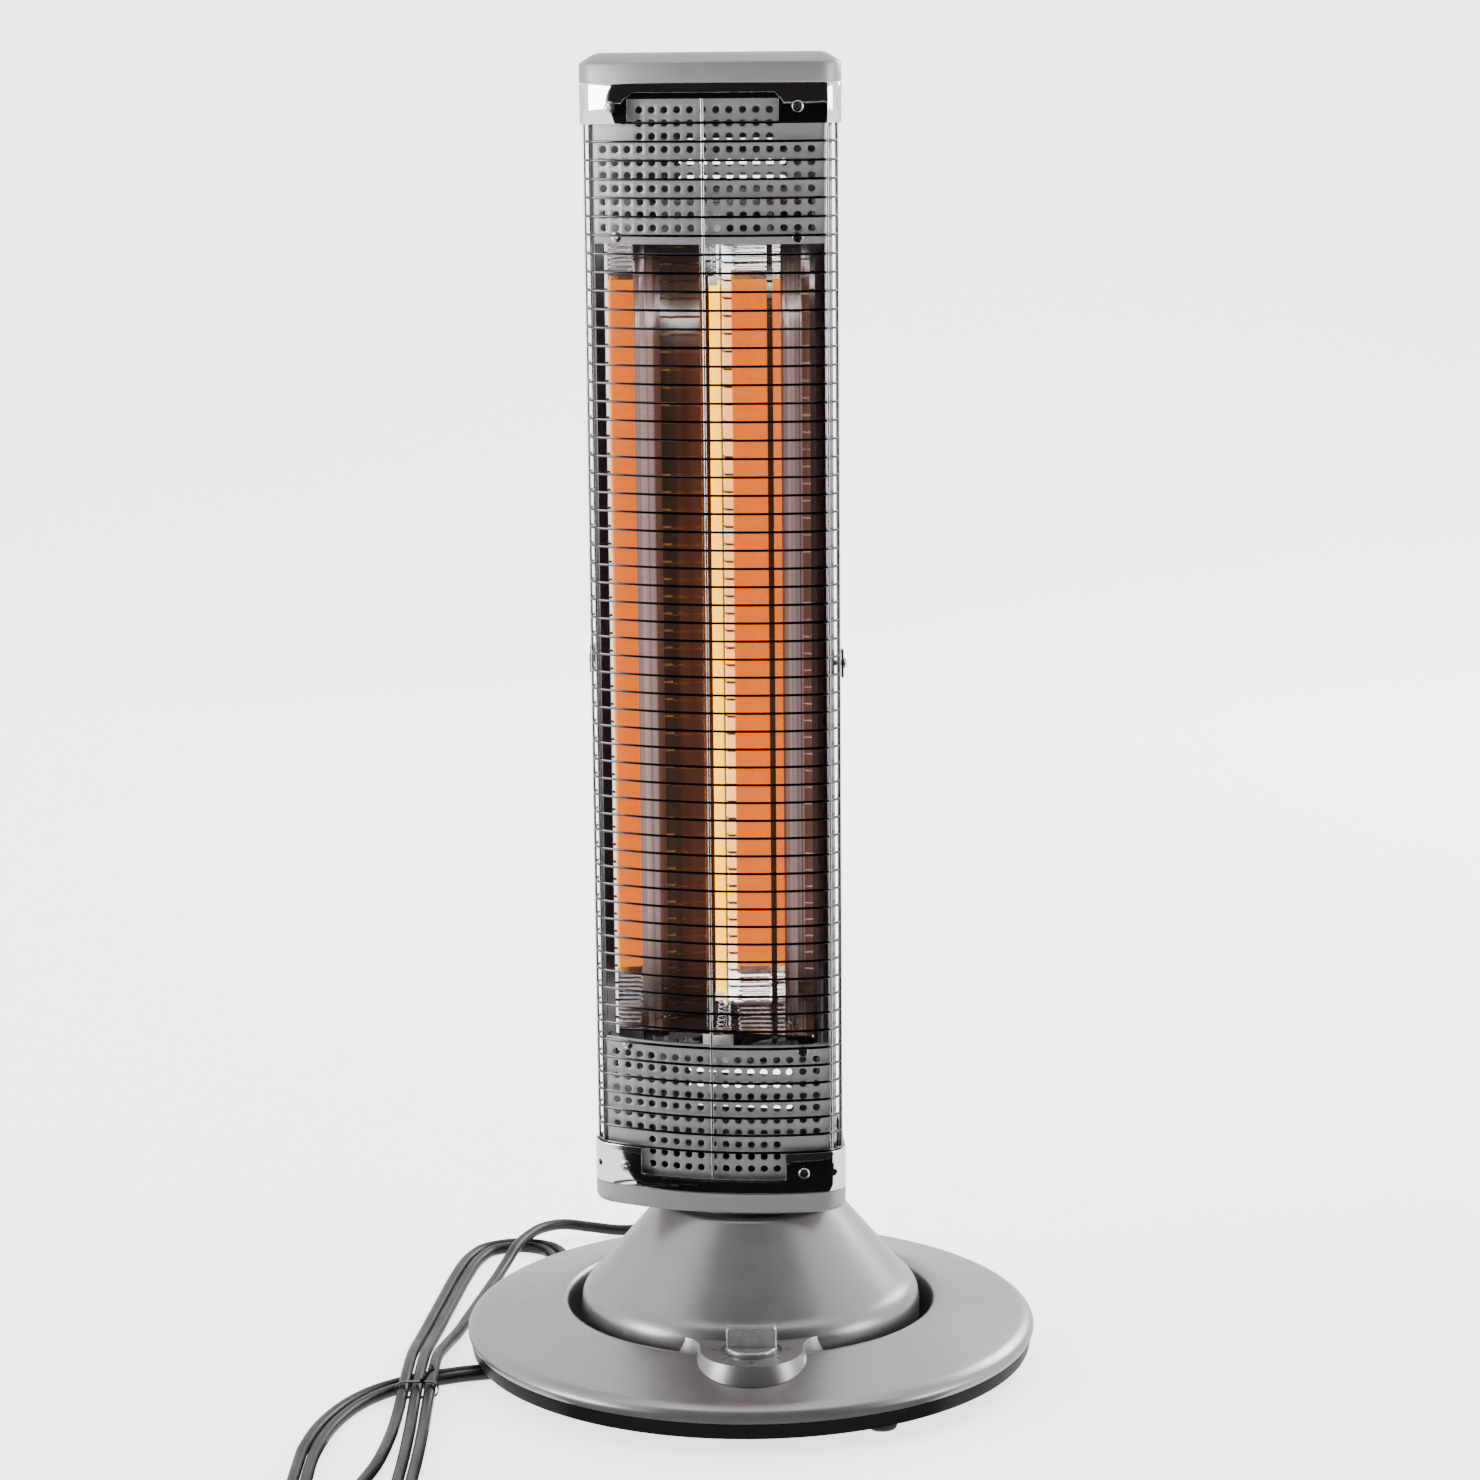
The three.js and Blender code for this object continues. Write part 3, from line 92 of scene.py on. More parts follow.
TUBE_LOW, TUBE_HIGH, TUBE_RADIUS = 186.0, 636.0, 6.0
MIRROR_LOW, MIRROR_HIGH, MIRROR_SHEET = 170.0, 652.0, 0.6
MIRROR_FOLDS = [
    (8.3, -3.5), (10.2, -3.46), (12.1, -3.36), (14.0, -3.2), (15.9, -2.99), (16.8, -2.87), (18.92, -2.54),
    (21.05, -2.15), (23.17, -1.69), (25.3, -1.17), (28.6, -0.77), (29.75, -0.41), (30.9, -0.04),
    (32.05, 0.35), (33.2, 0.76), (39.4, 9.7), (43.6, 20.14), (45.43, 22.14), (47.27, 24.24),
    (49.1, 26.45), (50.93, 28.75), (52.77, 31.17), (54.6, 33.7),
]
MIRROR_EDGE_U = 57.0


# Shaping

def lone(piece):
    bpy.ops.object.select_all(action="DESELECT")
    piece.select_set(True)
    bpy.context.view_layer.objects.active = piece


def arc(cx, cy, radius, start, stop, steps):
    angles = [math.radians(start + (stop - start) * i / steps) for i in range(steps + 1)]
    return [(cx + radius * math.cos(a), cy + radius * math.sin(a)) for a in angles]


def half_outline(inset, bow_steps=14, corner_steps=10, back_steps=6):
    """Right half of the column's section, from the middle of the front to the back."""
    bow = arc(0, FACE - BOW, BOW - inset, 90, 90 - BOW_ANGLE, bow_steps)
    corner = arc(FRONT_U, FRONT_V, CORNER - inset, 90 - BOW_ANGLE, -SIDE_ANGLE, corner_steps)
    back = arc(BACK_U, BACK_V, BACK_CORNER - inset, -SIDE_ANGLE, -90, back_steps)
    return bow + corner[1:] + back


def plainly(x, y, z):
    return Vector((x, y, z)) * MM


def on_column(u, v, z):
    turn = math.radians(COLUMN_TURN)
    x, y = u + COLUMN_OFFSET, -v
    return plainly(x * math.cos(turn) - y * math.sin(turn), x * math.sin(turn) + y * math.cos(turn), z)


def column_turn(way=1):
    return Matrix.Rotation(math.radians(way * COLUMN_TURN), 3, "Z")


def levels_of(outline, heights, place=on_column):
    """One outline, repeated at each height."""
    return [[place(u, v, z) for u, v in outline] for z in heights]


def both_sides(half):
    return [(-u, v) for u, v in reversed(half)][:-1] + half


def column_ring(inset, z, **steps):
    return [on_column(u, v, z) for u, v in both_sides(half_outline(inset, **steps))]


def circle(radius, count, x=0.0, y=0.0):
    """Points round a centre, never quite at it, so that no face is lost."""
    reach = max(radius, 0.0005)
    angles = [2 * math.pi * i / count for i in range(count)]
    return [(x + reach * math.cos(a), y + reach * math.sin(a)) for a in angles]


def front_at(u, inset):
    return FACE - BOW + math.sqrt((BOW - inset) ** 2 - u ** 2)


def tidy_faces(piece, merge=0.00001):
    lone(piece)
    bpy.ops.object.mode_set(mode="EDIT")
    bpy.ops.mesh.select_all(action="SELECT")
    bpy.ops.mesh.remove_doubles(threshold=merge)
    bpy.ops.mesh.normals_make_consistent(inside=False)
    bpy.ops.object.mode_set(mode="OBJECT")


def modified(piece, kind, **values):
    """Gives a piece a modifier with these values, and applies it."""
    lone(piece)
    modifier = piece.modifiers.new(kind.lower(), kind)
    for name, value in values.items():
        setattr(modifier, name, value)
    bpy.ops.object.modifier_apply(modifier=modifier.name)
    return piece


def drawn_out(name, rings, closed=False, capped=False):
    """A circle placed on the first ring and extruded from ring to ring."""
    bpy.ops.object.select_all(action="DESELECT")
    bpy.ops.mesh.primitive_circle_add(vertices=len(rings[0]), radius=0.1, fill_type="NOTHING")
    piece = bpy.context.object
    piece.name = piece.data.name = name
    bpy.ops.object.mode_set(mode="EDIT")
    mesh = bmesh.from_edit_mesh(piece.data)
    step = mesh.verts.layers.int.new("step")
    mesh.verts.ensure_lookup_table()
    for i, point in enumerate(rings[0]):
        mesh.verts[i].co = point
        mesh.verts[i][step] = i
    bmesh.update_edit_mesh(piece.data)
    bpy.ops.mesh.select_all(action="SELECT")
    for ring in rings[1:]:
        bpy.ops.mesh.extrude_edges_move()
        mesh = bmesh.from_edit_mesh(piece.data)
        step = mesh.verts.layers.int["step"]
        for vertex in mesh.verts:
            if vertex.select:
                vertex.co = ring[vertex[step]]
        bmesh.update_edit_mesh(piece.data)
    if closed:
        bpy.ops.mesh.select_all(action="DESELECT")
        bpy.ops.mesh.select_non_manifold()
        bpy.ops.mesh.bridge_edge_loops()
    if capped:
        bpy.ops.mesh.select_all(action="SELECT")
        bpy.ops.mesh.fill_holes(sides=0)
    bpy.ops.object.mode_set(mode="OBJECT")
    piece.data.attributes.remove(piece.data.attributes["step"])
    tidy_faces(piece)
    return piece


def turned(name, profile, count=96, closed=True, x=0.0, y=0.0, place=plainly):
    """A turned shape from radius and height pairs."""
    rings = [[place(px, py, z) for px, py in circle(r, count, x, y)] for r, z in profile]
    return drawn_out(name, rings, closed=closed, capped=not closed)


def round_along(name, start, direction, profile, count=24, closed=False):
    """A turned shape about any line, from distance and radius pairs."""
    turn = Vector(direction).normalized().to_track_quat("Z", "Y")
    rings = [[(Vector(start) + turn @ Vector((x, y, run))) * MM for x, y in circle(radius, count)]
             for run, radius in profile]
    return drawn_out(name, rings, closed=closed, capped=not closed)


def cut_away(piece, tool):
    """Takes the tool's shape out of the piece, and the tool with it."""
    modified(piece, "BOOLEAN", operation="DIFFERENCE", object=tool, solver="EXACT")
    bpy.data.objects.remove(tool)


def copied(piece, name, place):
    """A copy with a mesh of its own, moved there by its points."""
    lone(piece)
    bpy.ops.object.duplicate(linked=False)
    copy = bpy.context.object
    copy.name = copy.data.name = name
    copy.data.transform(place)
    return copy


def softened(node, name, width=0.3, segments=2, angle=35):
    """A copy of one of the part's own solids, with its edges eased."""
    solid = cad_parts[node]
    mesh = solid.data.copy()
    mesh.transform(solid.matrix_world)
    piece = bpy.data.objects.new(name, mesh)
    mesh.name = name
    bpy.context.collection.objects.link(piece)
    tidy_faces(piece)
    modified(piece, "DECIMATE", decimate_type="DISSOLVE", angle_limit=math.radians(1))
    soft_edges(piece, width, segments, angle)
    return smooth(piece, 35)


def soft_edges(piece, width, segments=3, angle=30):
    return modified(piece, "BEVEL", width=width * MM, segments=segments, limit_method="ANGLE",
                    angle_limit=math.radians(angle), harden_normals=False)


def smooth(piece, angle=32):
    lone(piece)
    bpy.ops.object.shade_smooth_by_angle(angle=math.radians(angle))
    return piece


def walled(piece, thickness, offset=-1):
    return modified(piece, "SOLIDIFY", thickness=thickness * MM, offset=offset)


def rounded_profile(points, steps=4):
    """Rounds each [r, z, radius] corner of a profile with a short arc."""
    out = []
    count = len(points)
    for i, (r, z, radius) in enumerate(points):
        before, after = points[i - 1], points[(i + 1) % count]
        here = Vector((r, z))
        a = Vector(before[:2]) - here
        b = Vector(after[:2]) - here
        reach = min(radius, a.length * 0.45, b.length * 0.45)
        if reach < 0.02:
            out.append((r, z))
            continue
        start, end = here + a.normalized() * reach, here + b.normalized() * reach
        for k in range(steps + 1):
            t = k / steps
            p = start * (1 - t) ** 2 + here * 2 * t * (1 - t) + end * t ** 2
            out.append((p.x, p.y))
    return out


# Finishes

def new_finish(name):
    finish = bpy.data.materials.new(name)
    finish.use_nodes = True
    tree = finish.node_tree
    shader = tree.nodes["Principled BSDF"]
    place = tree.nodes.new("ShaderNodeTexCoord")
    return finish, tree, shader, place.outputs["Object"]


def preset(node, values):
    """Gives a node's inputs their values."""
    for name, value in values.items():
        node.inputs[name].default_value = value


def speckle(tree, source, scale, detail=3.0, roughness=0.5, stretch=(1, 1, 1)):
    mapping = tree.nodes.new("ShaderNodeMapping")
    preset(mapping, {"Scale": stretch})
    tree.links.new(source, mapping.inputs["Vector"])
    noise = tree.nodes.new("ShaderNodeTexNoise")
    preset(noise, {"Scale": scale, "Detail": detail, "Roughness": roughness})
    tree.links.new(mapping.outputs["Vector"], noise.inputs["Vector"])
    return noise.outputs["Fac"]


def ranged(tree, factor, low, high, start=0.35, stop=0.65):
    span = tree.nodes.new("ShaderNodeMapRange")
    preset(span, {"From Min": start, "From Max": stop, "To Min": low, "To Max": high})
    tree.links.new(factor, span.inputs["Value"])
    return span.outputs["Result"]


def sum_of(tree, operation, first, second=None):
    """A maths node on one or two values, each a socket or a plain number."""
    node = tree.nodes.new("ShaderNodeMath")
    node.operation = operation
    for socket, value in zip(node.inputs, (first, second)):
        if isinstance(value, float):
            socket.default_value = value
        elif value is not None:
            tree.links.new(value, socket)
    return node.outputs[0]


def product(tree, first, second):
    return sum_of(tree, "MULTIPLY", first, second)


def distance_along(tree, place, direction):
    along = tree.nodes.new("ShaderNodeVectorMath")
    along.operation = "DOT_PRODUCT"
    along.inputs[1].default_value = direction
    tree.links.new(place, along.inputs[0])
    return along.outputs["Value"]


def lit_stretch(tree, place):
    """One beside the glowing part of the strand, fading to nothing at its two ends: where the mirror and the
    tube get their painted light.
    """
    height = distance_along(tree, place, (0, 0, 1))
    above = ranged(tree, height, 0.0, 1.0, 0.196, 0.24)
    return product(tree, above, ranged(tree, height, 1.0, 0.0, 0.585, 0.62))


def shaded(tree, factor, dark, light, start=0.3, stop=0.7):
    ramp = tree.nodes.new("ShaderNodeValToRGB")
    ramp.color_ramp.elements[0].position = start
    ramp.color_ramp.elements[0].color = (*dark, 1)
    ramp.color_ramp.elements[1].position = stop
    ramp.color_ramp.elements[1].color = (*light, 1)
    tree.links.new(factor, ramp.inputs["Fac"])
    return ramp.outputs["Color"]


def relief(tree, shader, factor, strength, distance=0.0002):
    bump = tree.nodes.new("ShaderNodeBump")
    preset(bump, {"Strength": strength, "Distance": distance})
    tree.links.new(factor, bump.inputs["Height"])
    tree.links.new(bump.outputs["Normal"], shader.inputs["Normal"])


def grained_finish(name, colour, metallic, roughness, spread=0.06, tint=0.08, grain=900.0,
                   strength=0.05, stretch=(1, 1, 1), coat=0.0, specular=0.5):
    finish, tree, shader, place = new_finish(name)
    fine = speckle(tree, place, grain, 2.0, 0.6, stretch)
    broad = speckle(tree, place, grain / 30, 3.0)
    dark = [c * (1 - tint) for c in colour]
    light = [min(c * (1 + tint), 1.0) for c in colour]
    tree.links.new(shaded(tree, fine, dark, light), shader.inputs["Base Color"])
    tree.links.new(ranged(tree, broad, roughness - spread, roughness + spread), shader.inputs["Roughness"])
    relief(tree, shader, fine, strength)
    preset(shader, {"Metallic": metallic, "Specular IOR Level": specular, "Coat Weight": coat,
                    "Coat Roughness": 0.2})
    return finish


def silver_paint(colour):
    return grained_finish("satin silver paint", colour, 0.82, 0.33, 0.03, 0.1, 2600.0, 0.05, coat=0.12)


def sheet_paint(colour):
    # painted light: a copy of the silver paint made a little lighter and less metallic, so that faces turned
    # to the dark front of the room come out bright
    lit_paint_colour = [c * 1.02 for c in colour]
    return grained_finish("silver painted sheet", lit_paint_colour, 0.45, 0.38, 0.03, 0.1, 2600.0, 0.05, coat=0.08)


# The finishes that need no more than a grain: name, colour, metallic, roughness, its spread, tint,
# grain, strength and stretch, and the shine of the two black ones.
GRAINED = {
    "chrome": ("bright chrome", (0.86, 0.86, 0.88), 1.0, 0.05, 0.025, 0.02, 300.0, 0.004),
    # painted shade: the guard wire's metal is near black, far darker than its uprights, so that it looks as
    # dark as the dark room it mirrors
    "wire": ("drawn wire", (0.09, 0.085, 0.092), 1.0, 0.12, 0.04, 0.06, 900.0, 0.03),
    "zinc": ("zinc screw", (0.62, 0.62, 0.64), 1.0, 0.25, 0.06, 0.08, 1500.0, 0.06),
    "steel": ("pressed steel", (0.2, 0.2, 0.21), 1.0, 0.42, 0.06, 0.1, 700.0, 0.08),
    "knob": ("brushed knob chrome", (0.42, 0.41, 0.43), 0.7, 0.28, 0.05, 0.08, 900.0, 0.05, (0.04, 1, 1)),
    "black": ("moulded black plastic", (0.006, 0.006, 0.0065), 0.0, 0.42, 0.05, 0.15, 1400.0, 0.15),
    "cord": ("cord rubber", (0.006, 0.006, 0.007), 0.0, 0.4, 0.05, 0.15, 1100.0, 0.06),
    "foot": ("foot rubber", (0.02, 0.02, 0.02), 0.0, 0.75, 0.05, 0.15, 900.0, 0.15),
    "iron": ("cast iron", (0.05, 0.05, 0.052), 0.6, 0.62, 0.08, 0.2, 500.0, 0.5),
    "nylon": ("natural nylon", (0.8, 0.78, 0.72), 0.0, 0.45, 0.05, 0.04, 500.0, 0.05),
    "ceramic": ("lamp ceramic", (0.78, 0.75, 0.68), 0.0, 0.65, 0.06, 0.05, 800.0, 0.2),
    "print": ("printed marks", (0.02, 0.02, 0.02), 0.0, 0.5, 0.05, 0.1, 900.0, 0.02),
}
BLACK_SHINE = {"black": 0.06, "cord": 0.3}


# Painted reflections and glow on the mirror, as emission colours by the distance from its middle: they stand
# in for the room and the strand mirrored in its facets.
MIRROR_PAINTED_REFLECTIONS = (
    (0.0, (0.02, 0.008, 0.005)), (9.0, (0.085, 0.028, 0.015)), (24.0, (0.085, 0.028, 0.015)),
    (26.0, (0.045, 0.021, 0.014)), (36.0, (0.04, 0.02, 0.015)), (37.0, (0.2, 0.14, 0.14)),
    (43.4, (0.26, 0.2, 0.2)), (44.0, (0.02, 0.01, 0.008)), (MIRROR_EDGE_U, (0.05, 0.03, 0.028)),
)


def mirror_sheet():
    """Rolled sheet, with painted reflections emitted in bands over its flanks along the strand's lit stretch.
    """
    colour = (0.9, 0.87, 0.86)
    finish = grained_finish("mirror sheet", colour, 1.0, 0.04, 0.015, 0.02, 60.0, 0.02, (1, 1, 0.15))
    tree = finish.node_tree
    shader = tree.nodes["Principled BSDF"]
    place = tree.nodes.new("ShaderNodeTexCoord").outputs["Object"]
    across = distance_along(tree, place, column_turn() @ Vector((1, 0, 0)))
    flank = sum_of(tree, "ABSOLUTE", sum_of(tree, "SUBTRACT", across, COLUMN_OFFSET * MM))
    # painted reflections: emission colour by the distance from the middle, with streaks, only along the
    # strand's lit stretch
    ramp = tree.nodes.new("ShaderNodeValToRGB")
    for k, (reach, colour) in enumerate(MIRROR_PAINTED_REFLECTIONS):
        share = reach / MIRROR_EDGE_U
        stop = ramp.color_ramp.elements[k] if k < 2 else ramp.color_ramp.elements.new(share)
        stop.position, stop.color = share, (*colour, 1)
    tree.links.new(ranged(tree, flank, 0.0, 1.0, 0.0, MIRROR_EDGE_U * MM), ramp.inputs["Fac"])
    tree.links.new(ramp.outputs["Color"], shader.inputs["Emission Color"])
    streak = ranged(tree, speckle(tree, place, 90.0, 2.0, 0.5, (1, 1, 0.04)), 0.75, 1.25)
    tree.links.new(product(tree, lit_stretch(tree, place), streak), shader.inputs["Emission Strength"])
    return finish


def clear_quartz():
    """Clear at its ends, with the strand's light painted in as an amber tint along its lit stretch."""
    finish, tree, shader, place = new_finish("clear quartz")
    # painted light: amber where the strand glows, clear elsewhere
    tint = shaded(tree, lit_stretch(tree, place), (0.98, 0.99, 1.0), (1.0, 0.62, 0.3))
    tree.links.new(tint, shader.inputs["Base Color"])
    preset(shader, {"Transmission Weight": 1.0, "IOR": 1.12, "Specular IOR Level": 0.25})
    streak = speckle(tree, place, 120.0, 2.0, 0.5, (1, 1, 0.05))
    tree.links.new(ranged(tree, streak, 0.0, 0.05), shader.inputs["Roughness"])
    relief(tree, shader, streak, 0.02)
    return finish


def glowing_carbon(strength):
    """The tape glows yellow on its face and a deeper orange on the side towards the mirror."""
    finish, tree, shader, place = new_finish("glowing carbon")
    weave = speckle(tree, place, 700.0, 2.0, 0.5, (1, 1, 0.6))
    front = shaded(tree, weave, (1.0, 0.7, 0.0), (1.0, 0.9, 0.0))
    back = shaded(tree, weave, (0.36, 0.09, 0.0), (0.43, 0.114, 0.0))
    turn = math.radians(COLUMN_TURN + TAPE_TURN)
    facing = Vector((math.sin(turn), -math.cos(turn), 0))
    middle = on_column(STRAND_U, LAMP_V, 0).dot(facing)
    depth = distance_along(tree, place, facing)
    side = tree.nodes.new("ShaderNodeMix")
    side.data_type = "RGBA"
    share = ranged(tree, depth, 0.0, 1.0, middle + 0.05 * MM, middle + 0.2 * MM)
    tree.links.new(share, side.inputs["Factor"])
    tree.links.new(back, side.inputs[6])
    tree.links.new(front, side.inputs[7])
    tree.links.new(side.outputs[2], shader.inputs["Emission Color"])
    tree.links.new(front, shader.inputs["Base Color"])
    preset(shader, {"Emission Strength": strength, "Roughness": 0.7})
    relief(tree, shader, weave, 0.3)
    return finish


# Each finish, under the short name that the pieces use for it.
FINISHES = {}


def finish_named(name):
    """Each finish is made once and shared."""
    settings = bpy.context.scene.heater_settings
    makers = {
        "silver": lambda: silver_paint(tuple(settings.paint_colour)),
        "sheet": lambda: sheet_paint(tuple(settings.paint_colour)),
        "mirror": mirror_sheet, "quartz": clear_quartz, "upright": lambda: finish_named("zinc"),
        "glow": lambda: glowing_carbon(settings.glow_strength),
    }
    if name not in FINISHES and name in GRAINED:
        FINISHES[name] = grained_finish(*GRAINED[name], specular=BLACK_SHINE.get(name, 0.5))
    elif name not in FINISHES:
        FINISHES[name] = makers[name]()
    return FINISHES[name]


def finished(piece, finish, body, *nodes):
    """Gives a piece its finish and slot and its body, and hides the nodes that it stands for."""
    piece.data.materials.clear()
    piece.data.materials.append(finish_named(finish))
    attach(piece, body)
    if nodes:
        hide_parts(*nodes)
    return piece


# Settings

class HeaterSettings(bpy.types.PropertyGroup):
    """Sizes, colours and light that a user may change."""

    paint_colour: FloatVectorProperty(
        name="Paint colour", description="Base colour of the satin silver paint",
        default=(0.27, 0.254, 0.263), min=0.0, max=1.0, subtype="COLOR")
    glow_strength: FloatProperty(
        name="Glow", description="Emission strength of the carbon strand", default=2.8, min=0.0, max=100.0)
    wire_diameter: FloatProperty(
        name="Wire diameter", description="Thickness of the guard's wires",
        default=0.0015, min=0.0008, max=0.0016, subtype="DISTANCE", unit="LENGTH")
    turning_steps: IntProperty(
        name="Turning steps", description="Steps round the base's turned pieces",
        default=160, min=48, max=256)


# Base

DIAL_Y = -107.5
DIAL_TOP, PRINT = 39.72, 0.13
LOBE_RADIUS, LOBE_DRAFT = 31.8, 4.2
# How far the lobe stands in, as a share of its draft, at each height.
LOBE_LEVELS = [(0.0, 20.0), (0.0, 28.0), (0.35, 33.0), (0.62, 36.2), (0.82, 38.3), (0.95, 39.4), (1.0, 39.8)]
# Where the lobe's sides flare out into the cone, as the width added and the place from front to back.
LOBE_FLARE = [(0.3, -99.5), (1.1, -96.0), (2.6, -92.6), (5.0, -89.6), (8.6, -86.8), (8.6, -84.0)]
TRAY_PROFILE = [
    (0.0, 7.0, 0.0), (155.0, 7.0, 1.0), (157.4, 8.2, 1.0), (159.0, 16.5, 0.0), (156.6, 16.5, 0.0),
    (155.2, 9.5, 1.0), (0.0, 9.5, 0.0),
]
FOOT_PROFILE = [
    (0.0, 0.02, 0.0), (7.0, 0.02, 0.6), (8.0, 1.2, 0.6), (8.0, 6.7, 0.3), (3.5, 6.7, 0.0),
    (3.5, 9.1, 0.3), (0.0, 9.1, 0.0),
]
FOOT_CIRCLE, FIRST_FOOT = 139.5, -60
RING_PROFILE = [
    (159.0, 16.8, 0.0), (160.0, 18.6, 0.8), (159.9, 20.9, 1.2), (158.2, 23.4, 2.0), (154.6, 25.6, 3.0),
    (150.0, 26.8, 4.0), (112.0, 35.5, 4.0), (107.0, 36.3, 2.5), (103.4, 34.6, 2.0), (102.2, 30.5, 2.0),
    (101.5, 10.2, 0.0), (103.5, 10.2, 0.0), (104.2, 30.0, 1.0), (109.0, 33.6, 1.0), (150.0, 24.8, 1.0),
    (157.0, 19.5, 1.0), (157.2, 16.8, 0.0),
]


class HEATER_OT_base(bpy.types.Operator):
    """Turn the tray and the silver ring of the base, and mould its feet"""

    bl_idname = "heater.base"
    bl_label = "Base"

    def execute(self, context):
        count = context.scene.heater_settings.turning_steps
        tray = turned("base_tray_shell", rounded_profile(TRAY_PROFILE), count, closed=False)
        finished(smooth(tray), "black", "base", "base_tray")
        ring = turned("base_ring_shell", rounded_profile(RING_PROFILE), count)
        finished(smooth(ring, 40), "silver", "base", "base_ring")
        for i in range(4):
            angle = math.radians(90 * i + FIRST_FOOT)
            x, y = FOOT_CIRCLE * math.cos(angle), FOOT_CIRCLE * math.sin(angle)
            foot = turned(f"rubber_foot_{i + 1}", rounded_profile(FOOT_PROFILE), 32, False, x, y)
            finished(smooth(foot), "foot", "base", f"foot_{i + 1}")
        return {"FINISHED"}


COVER_PROFILE = [
    (95.3, 10.1, 0.0), (95.3, 34.0, 2.0), (94.6, 39.5, 2.5), (91.8, 44.0, 3.0), (88.0, 47.3, 3.0),
    (51.4, 90.6, 1.6), (49.6, 92.8, 1.2), (46.0, 93.3, 0.8), (29.95, 93.3, 0.0), (29.95, 90.8, 0.0),
    (45.0, 90.8, 0.6), (86.0, 44.5, 3.0), (92.8, 36.0, 3.0), (92.8, 10.1, 0.0),
]


class HEATER_OT_pedestal(bpy.types.Operator):
    """Turn the pedestal cone and join the dial lobe to it"""

    bl_idname = "heater.pedestal"
    bl_label = "Pedestal"

    def execute(self, context):
        count = context.scene.heater_settings.turning_steps
        cover = turned("pedestal_shell", rounded_profile(COVER_PROFILE), count)
        finished(smooth(cover, 40), "silver", "base", "pedestal_cover")
        rings = []
        for share, z in LOBE_LEVELS:
            radius = LOBE_RADIUS - LOBE_DRAFT * share
            flare = [(radius + out, y) for out, y in LOBE_FLARE]
            outline = arc(0, DIAL_Y, radius, 180, 360, 40) + flare + [(-x, y) for x, y in reversed(flare)]
            rings += levels_of(outline, [z], plainly)
        lobe = drawn_out("dial_lobe", rings, capped=True)
        trim_below_ring(lobe)
        finished(smooth(lobe, 35), "silver", "base")
        return {"FINISHED"}


def trim_below_ring(lobe):
    """Cuts away what would stand inside the ring, and sinks the knob's recess."""
    cutter = turned("ring_space", [
        (200.0, 0.0), (200.0, 15.0), (160.2, 16.8), (160.2, 20.9), (154.8, 25.9), (150.0, 27.1),
        (112.0, 35.8), (107.0, 36.6), (103.2, 35.0), (101.2, 30.0), (101.2, 0.0)])
    recess = turned("knob_recess", [
        (0.0, 38.6), (16.3, 38.6), (16.3, 45.0), (0.0, 45.0)], 64, False, 0.0, DIAL_Y)
    cut_away(lobe, cutter)
    cut_away(lobe, recess)


# One long side of the grip bar, from its left end to the middle of its right end.
GRIP_SIDE = [
    (-12.9, -4.4), (-10.5, -3.7), (-7.0, -2.8), (-3.0, -3.2), (0.0, -3.4),
    (3.0, -3.2), (7.0, -2.8), (10.5, -3.7), (12.9, -4.4), (13.7, 0.0),
]


class HEATER_OT_dial(bpy.types.Operator):
    """Shape the chromed knob and print the dial's marks"""

    bl_idname = "heater.dial"
    bl_label = "Dial"

    def execute(self, context):
        disc = turned("knob_disc", rounded_profile([
            (0.0, 38.95, 0.0), (13.8, 38.95, 0.3), (13.8, 41.6, 0.8), (12.6, 42.2, 0.4), (0.0, 41.4, 0.0),
        ]), 72, False, 0.0, DIAL_Y)
        finished(smooth(disc), "knob", "knob", "control_knob")
        outline = GRIP_SIDE + [(-x, -y) for x, y in GRIP_SIDE]
        rings = []
        for share, z in ((1.0, 40.6), (1.0, 51.2), (0.985, 52.2), (0.95, 52.75)):
            rings += levels_of([(x * share, y * share + DIAL_Y) for x, y in outline], [z], plainly)
        grip = drawn_out("knob_grip", rings, capped=True)
        soft_edges(grip, 0.35, 2, 40)
        finished(smooth(grip), "knob", "knob")
        for angle in (180, 225, 315, 360):
            finished(flat_mark(f"dial_mark_{angle}", math.radians(angle), 18.6, 22.2, 0.8), "print", "base")
        top = DIAL_TOP + PRINT
        dot = turned("dial_dot", [
            (0.0, DIAL_TOP), (1.2, DIAL_TOP), (1.2, top), (0.0, top)], 24, False, 0.0, DIAL_Y - 20.9)
        finished(dot, "print", "base")
        return {"FINISHED"}


def flat_mark(name, angle, start, stop, width):
    """A printed line that points from the knob's middle."""
    corners = [(start, -width / 2), (stop, -width / 2), (stop, width / 2), (start, width / 2)]
    c, sn = math.cos(angle), math.sin(angle)
    outline = [(c * run - sn * aside, DIAL_Y + sn * run + c * aside) for run, aside in corners]
    return drawn_out(name, levels_of(outline, (DIAL_TOP, DIAL_TOP + PRINT), plainly), capped=True)


# Column

